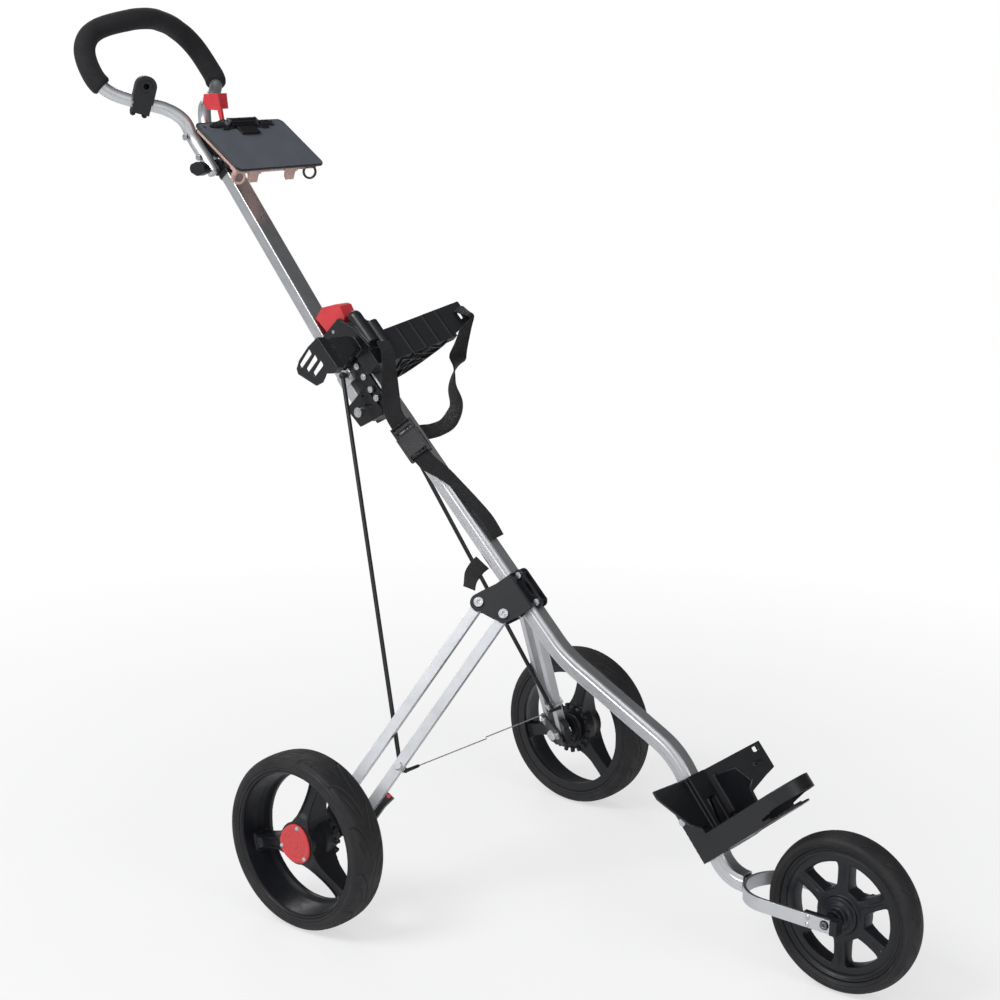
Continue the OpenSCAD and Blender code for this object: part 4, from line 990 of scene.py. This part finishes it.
def build_tray():
    shells = [block(*corners) for corners in TRAY_BLOCKS]
    shells.append(ring((104.5, -78, -11.5), outer=10.5, inner=7.2, height=3.4, roll=26, tilt=56))
    shells.append(tongue(END_TONGUE, -84, -80))
    for y in (-47, 25):
        shells.append(tongue(LONG_TONGUE, y - 8, y + 9))
        shells.append(tongue(WIDE_TONGUE, y - 13, y + 13))
    tray = make_fused("console_tray_shell", shells, voxel=0.8, rounds=2)
    move_points(tray, on_console)
    face_outward(tray)
    dress(tray, TRAY, "console_tray")

    shells = [ring((105, 62, -11.5), outer=10.5, inner=7.4, height=3.2, roll=26, tilt=56),
              block((98, 54, -6), (103, 70, -1.8))]
    black_ring = make_fused("tray_ring_black", shells, voxel=0.6, rounds=2)
    move_points(black_ring, on_console)
    dress(black_ring, BLACK_SATIN, "console_tray", replaces=False)


def rounded_rectangle(x0, x1, y0, y1, radius, z, steps=8):
    corners = ((x1 - radius, y1 - radius, 0), (x0 + radius, y1 - radius, 90),
               (x0 + radius, y0 + radius, 180), (x1 - radius, y0 + radius, 270))
    points = []
    for x, y, start in corners:
        for i in range(steps + 1):
            angle = math.radians(start + 90 * i / steps)
            points.append((x + radius * math.cos(angle), y + radius * math.sin(angle), z))
    return np.array(points)


def build_lid_trim(sides=12):
    """Oval bead round the edge of the lid."""
    loop = rounded_rectangle(0.2, 105.8, -83.8, 83.8, radius=8, z=0.6)
    x, y, _ = (np.roll(loop, -1, 0) - np.roll(loop, 1, 0)).T
    normals = np.stack([y, -x, np.zeros(len(loop))], 1)
    normals /= np.linalg.norm(normals, axis=1)[:, None]
    turns = np.linspace(0, 2 * math.pi, sides, endpoint=False)
    points = [centre + 1.25 * math.cos(t) * normal + np.array([0, 0, 2.1 * math.sin(t)])
              for centre, normal in zip(loop, normals) for t in turns]
    faces = grid_faces(len(loop), sides, closed=True)
    ob = make_object("lid_edge_trim", on_console(points), faces)
    dress(ob, LID_EDGE, "console_lid", replaces=False)


def build_clip_seat():
    shells = []
    for sign in (-1, 1):
        shells += [block((2.5, sign * 44 - 10, 2.0), (13, sign * 44 + 10, 5.4)),
                   block((11, sign * 38 - 7, 2.0), (19, sign * 38 + 7, 4.2)),
                   ring((9, sign * 56, 3.4), outer=4.6, inner=1.8, height=3.0)]
    shells.append(block((9.8, -31, 2.0), (17, 31, 3.6)))
    seat = make_fused("clip_seat", shells, voxel=0.55, rounds=3)
    move_points(seat, on_console)
    dress(seat, BLACK_SATIN, "console_lid", replaces=False)


# ------------------------------------------------------------------ ribbed web, left cradle arm
# y and distance off the tube, in the main tube's frame
ARM_TOP = [[22, 38], [45, 49], [73, 58], [101, 67]]
ARM_BOTTOM = [[101, 67], [97, 52], [83, 30], [66, 8], [50, -5], [36, -4], [24, 8]]
ARM_RIBS = [
    ((27, 40), (83, 31)), ((45, 49), (51, -4)), ((73, 58), (50, -4)), ((73, 58), (97, 53)),
    ((27, 12), (73, 58)), ((45, 49), (92, 42)), ((24, 10), (83, 31)), ((27, 40), (38, -3))]


def arm_prism(outline, start, end):
    """Prism between two stations along the main tube."""
    points, faces = prism([(start, y, z) for y, z in outline], [(end, y, z) for y, z in outline])
    return on_main(points), faces


def arm_rib(start, end, half_width=1.0):
    start, end = np.array(start, float), np.array(end, float)
    forward = unit(end - start)
    side = np.array([-forward[1], forward[0]]) * half_width
    return arm_prism([start - side, end - side, end + side, start + side], -209.5, -203.6)


def build_arm_web():
    """Thin plate with a rib along its lower edge and crossing ribs."""
    top = smooth_path(ARM_TOP, 6)
    bottom = smooth_path(ARM_BOTTOM, 6)
    shells = [arm_prism([*top, *bottom[1:]], -211.5, -209)]
    shells += [arm_rib(a, b, half_width=1.2) for a, b in zip(bottom[:-1], bottom[1:])]
    shells += [arm_rib(a, b) for a, b in ARM_RIBS]
    web = make_fused("cradle_arm_web", shells, voxel=0.85, rounds=2)
    face_outward(web)
    dress(web, CRADLE, "upper_cradle", replaces=False)


# ------------------------------------------------------------------ kept CAD parts
def release_finish(side, tag):
    """Black moulding with a red button end."""
    b = moulded(f"release_{tag}", **BLACK_LOOK)
    base = b.principled.inputs["Base Color"].links[0].from_socket
    tip = leg_point(112.5, -259.5) * [1, side, 1] / MM
    span = (0.0055, 0.0052) if side > 0 else (0.0012, 0.001)  # metres from the tip
    red = b.remap(b.distance(tuple(tip)), span)
    b.surface({"Base Color": b.mix(red, base, (0.6, 0.04, 0.05))})
    return b


def finish_cad_parts():
    # finish, slot, nodes
    rows = [
        (ALU_MAIN, "tube", "main_tube"),
        (ALU_FORK, "tube", "front_fork"),
        (BLACK, "plastic", "fork_end_blocks"),
        (STEEL, "steel", "fork_rivets"),
        (BLACK, "plastic", "bracket_half_right bracket_half_left"),
        (STEEL, "steel", "bracket_bolts leg_pivot_bolts"),
        (ALU_UPPER, "tube", "upper_tube"),
        (BLACK, "plastic", "tube_head"),
        (BLACK_SATIN, "plastic", "hinge_plates"),
        (STEEL, "steel", "hinge_pin side_bolts"),
        (CRADLE, "plastic", "upper_cradle"),
        (RED, "red", "fold_latch"),
        (STEEL, "steel", "latch_pin"),
        (BLACK_SATIN, "plastic", "buckle_body buckle_tongue"),
        (CRADLE, "plastic", "lower_cradle"),
        (STEEL, "steel", "cradle_screws"),
        (BLACK, "plastic", "console_bracket"),
        (STEEL, "steel", "handle_bolts"),
        (BLACK, "plastic", "clamp_knob"),
        (RED, "red", "tilt_lever"),
        (BLACK, "plastic", "accessory_clamp"),
        (SLATE, "lid", "console_lid"),
        (BLACK_SATIN, "plastic", "card_clip")]
    for side, tag in SIDES:
        axis = math.cos(LEG_ANGLE) * MAIN_ALONG + math.sin(LEG_ANGLE) * LEG_SIDE
        leg = anodised(f"alu_leg_{tag}", axis * [1, side, 1], colour=(0.62, 0.63, 0.65))
        rows += [
            (leg, "tube", f"leg_bar_front_{tag} leg_bar_rear_{tag}"),
            (BLACK, "plastic", f"wheel_carrier_{tag}"),
            (STEEL, "steel", f"carrier_pins_{tag} rear_axle_{tag}"),
            (release_finish(side, tag), "red", f"release_tab_{tag}"),
            (STEEL, "steel", f"cap_screws_{tag}"),
            (BLACK_SATIN, "black_steel", f"push_rod_{tag}")]
    for finish, slot, nodes in rows:
        for node in nodes.split():
            ob = NODES[node]
            ob.data.materials.clear()
            ob.data.materials.append(finish.owner)
            ob.data.polygons.foreach_set("material_index", [0] * len(ob.data.polygons))
    for node in ("upper_cradle", "lower_cradle"):
        add_rounding(NODES[node], voxel=0.95, rounds=4)


# ------------------------------------------------------------------ stage, light, camera (metres)
def build_floor(half_size=14):
    """Paper sweep that fades into the white backdrop away from the trolley."""
    b = Material("floor_paper")
    base = b.mix(b.remap(b.noise(scale=3, detail=3)), (0.90, 0.90, 0.905), (0.93, 0.93, 0.93))
    b.surface({"Base Color": base, "Roughness": 0.8, "Specular IOR Level": 0.1})
    glow = b.add("Emission", {"Color": (1, 1, 1, 1), "Strength": 1.0})
    light_path = b.add("LightPath")
    far = b.remap(b.distance((0.08, 0.0, 0.0)), span=(0.55, 1.7), to=(0.62, 1.0))
    factor = b.times(far, light_path.outputs["Is Camera Ray"])
    b.put(b.output.inputs[0], b.add("MixShader", {0: factor, 1: b.principled, 2: glow}))
    sheet = bmesh.new()
    corners = ((-1, -1), (1, -1), (1, 1), (-1, 1))
    sheet.faces.new([sheet.verts.new((x * half_size, y * half_size, 0)) for x, y in corners])
    mesh = bpy.data.meshes.new("floor")
    sheet.to_mesh(mesh)
    sheet.free()
    floor = bpy.data.objects.new("floor", mesh)
    mesh.materials.append(b.owner)
    scene.collection.objects.link(floor)


def build_world():
    """White to the camera; as light, cool white from -Y and dim from +Y."""
    world = bpy.data.worlds.new("studio")
    scene.world = world
    b = Nodes(world)
    direction = b.add("SeparateXYZ", {0: b.add("TexCoord").outputs["Generated"]})
    level = b.remap(direction.outputs[1], span=(0.62, -0.55), to=(0.16, 1.0))
    colour = b.mix(level, (0.0, 0.0, 0.0), (0.97, 0.985, 1.0))
    light = b.add("Background", {"Color": colour, "Strength": 0.70})
    seen = b.add("Background", {"Color": (1, 1, 1, 1), "Strength": 1.0})
    to_camera = b.add("LightPath").outputs["Is Camera Ray"]
    b.add("OutputWorld", {0: b.add("MixShader", {0: to_camera, 1: light, 2: seen})})


def aim(position, target):
    return (Vector(target) - Vector(position)).to_track_quat("-Z", "Y")


def add_area(name, position, target, size, power):
    light = bpy.data.lights.new(name, "AREA")
    light.shape = "RECTANGLE"
    light.size, light.size_y = size
    light.energy = power
    ob = bpy.data.objects.new(name, light)
    scene.collection.objects.link(ob)
    ob.location = position
    ob.rotation_euler = aim(position, target).to_euler()


def build_lights():
    add_area("key", (-0.6, -2.4, 2.9), target=(0.05, 0, 0.5), size=(1.5, 1.2), power=58)
    add_area("fill", (3.0, -0.4, 1.5), target=(0.1, 0, 0.5), size=(1.2, 1.6), power=15)
    add_area("back", (-2.4, 1.6, 2.4), target=(0, 0, 0.6), size=(1.2, 1.0), power=16)


def build_camera(position=(1.7686, -2.0839, 1.1743), target=(0.0794, 0.0, 0.5312), roll=0.65):
    data = bpy.data.cameras.new("camera")
    data.lens = 74.37
    data.sensor_width = 36
    camera = bpy.data.objects.new("camera", data)
    scene.collection.objects.link(camera)
    camera.matrix_world = (Matrix.Translation(position) @ aim(position, target).to_matrix().to_4x4()
                           @ Matrix.Rotation(math.radians(roll), 4, "Z"))
    scene.camera = camera
    scene.view_settings.view_transform = "Standard"


build_tyres()
build_rear_rims()
build_hub_caps()
build_front_rim()
build_handle()
build_straps()
build_cables()
build_tray()
build_lid_trim()
build_clip_seat()
build_arm_web()
build_front_axle()
finish_cad_parts()
build_floor()
build_world()
build_lights()
build_camera()
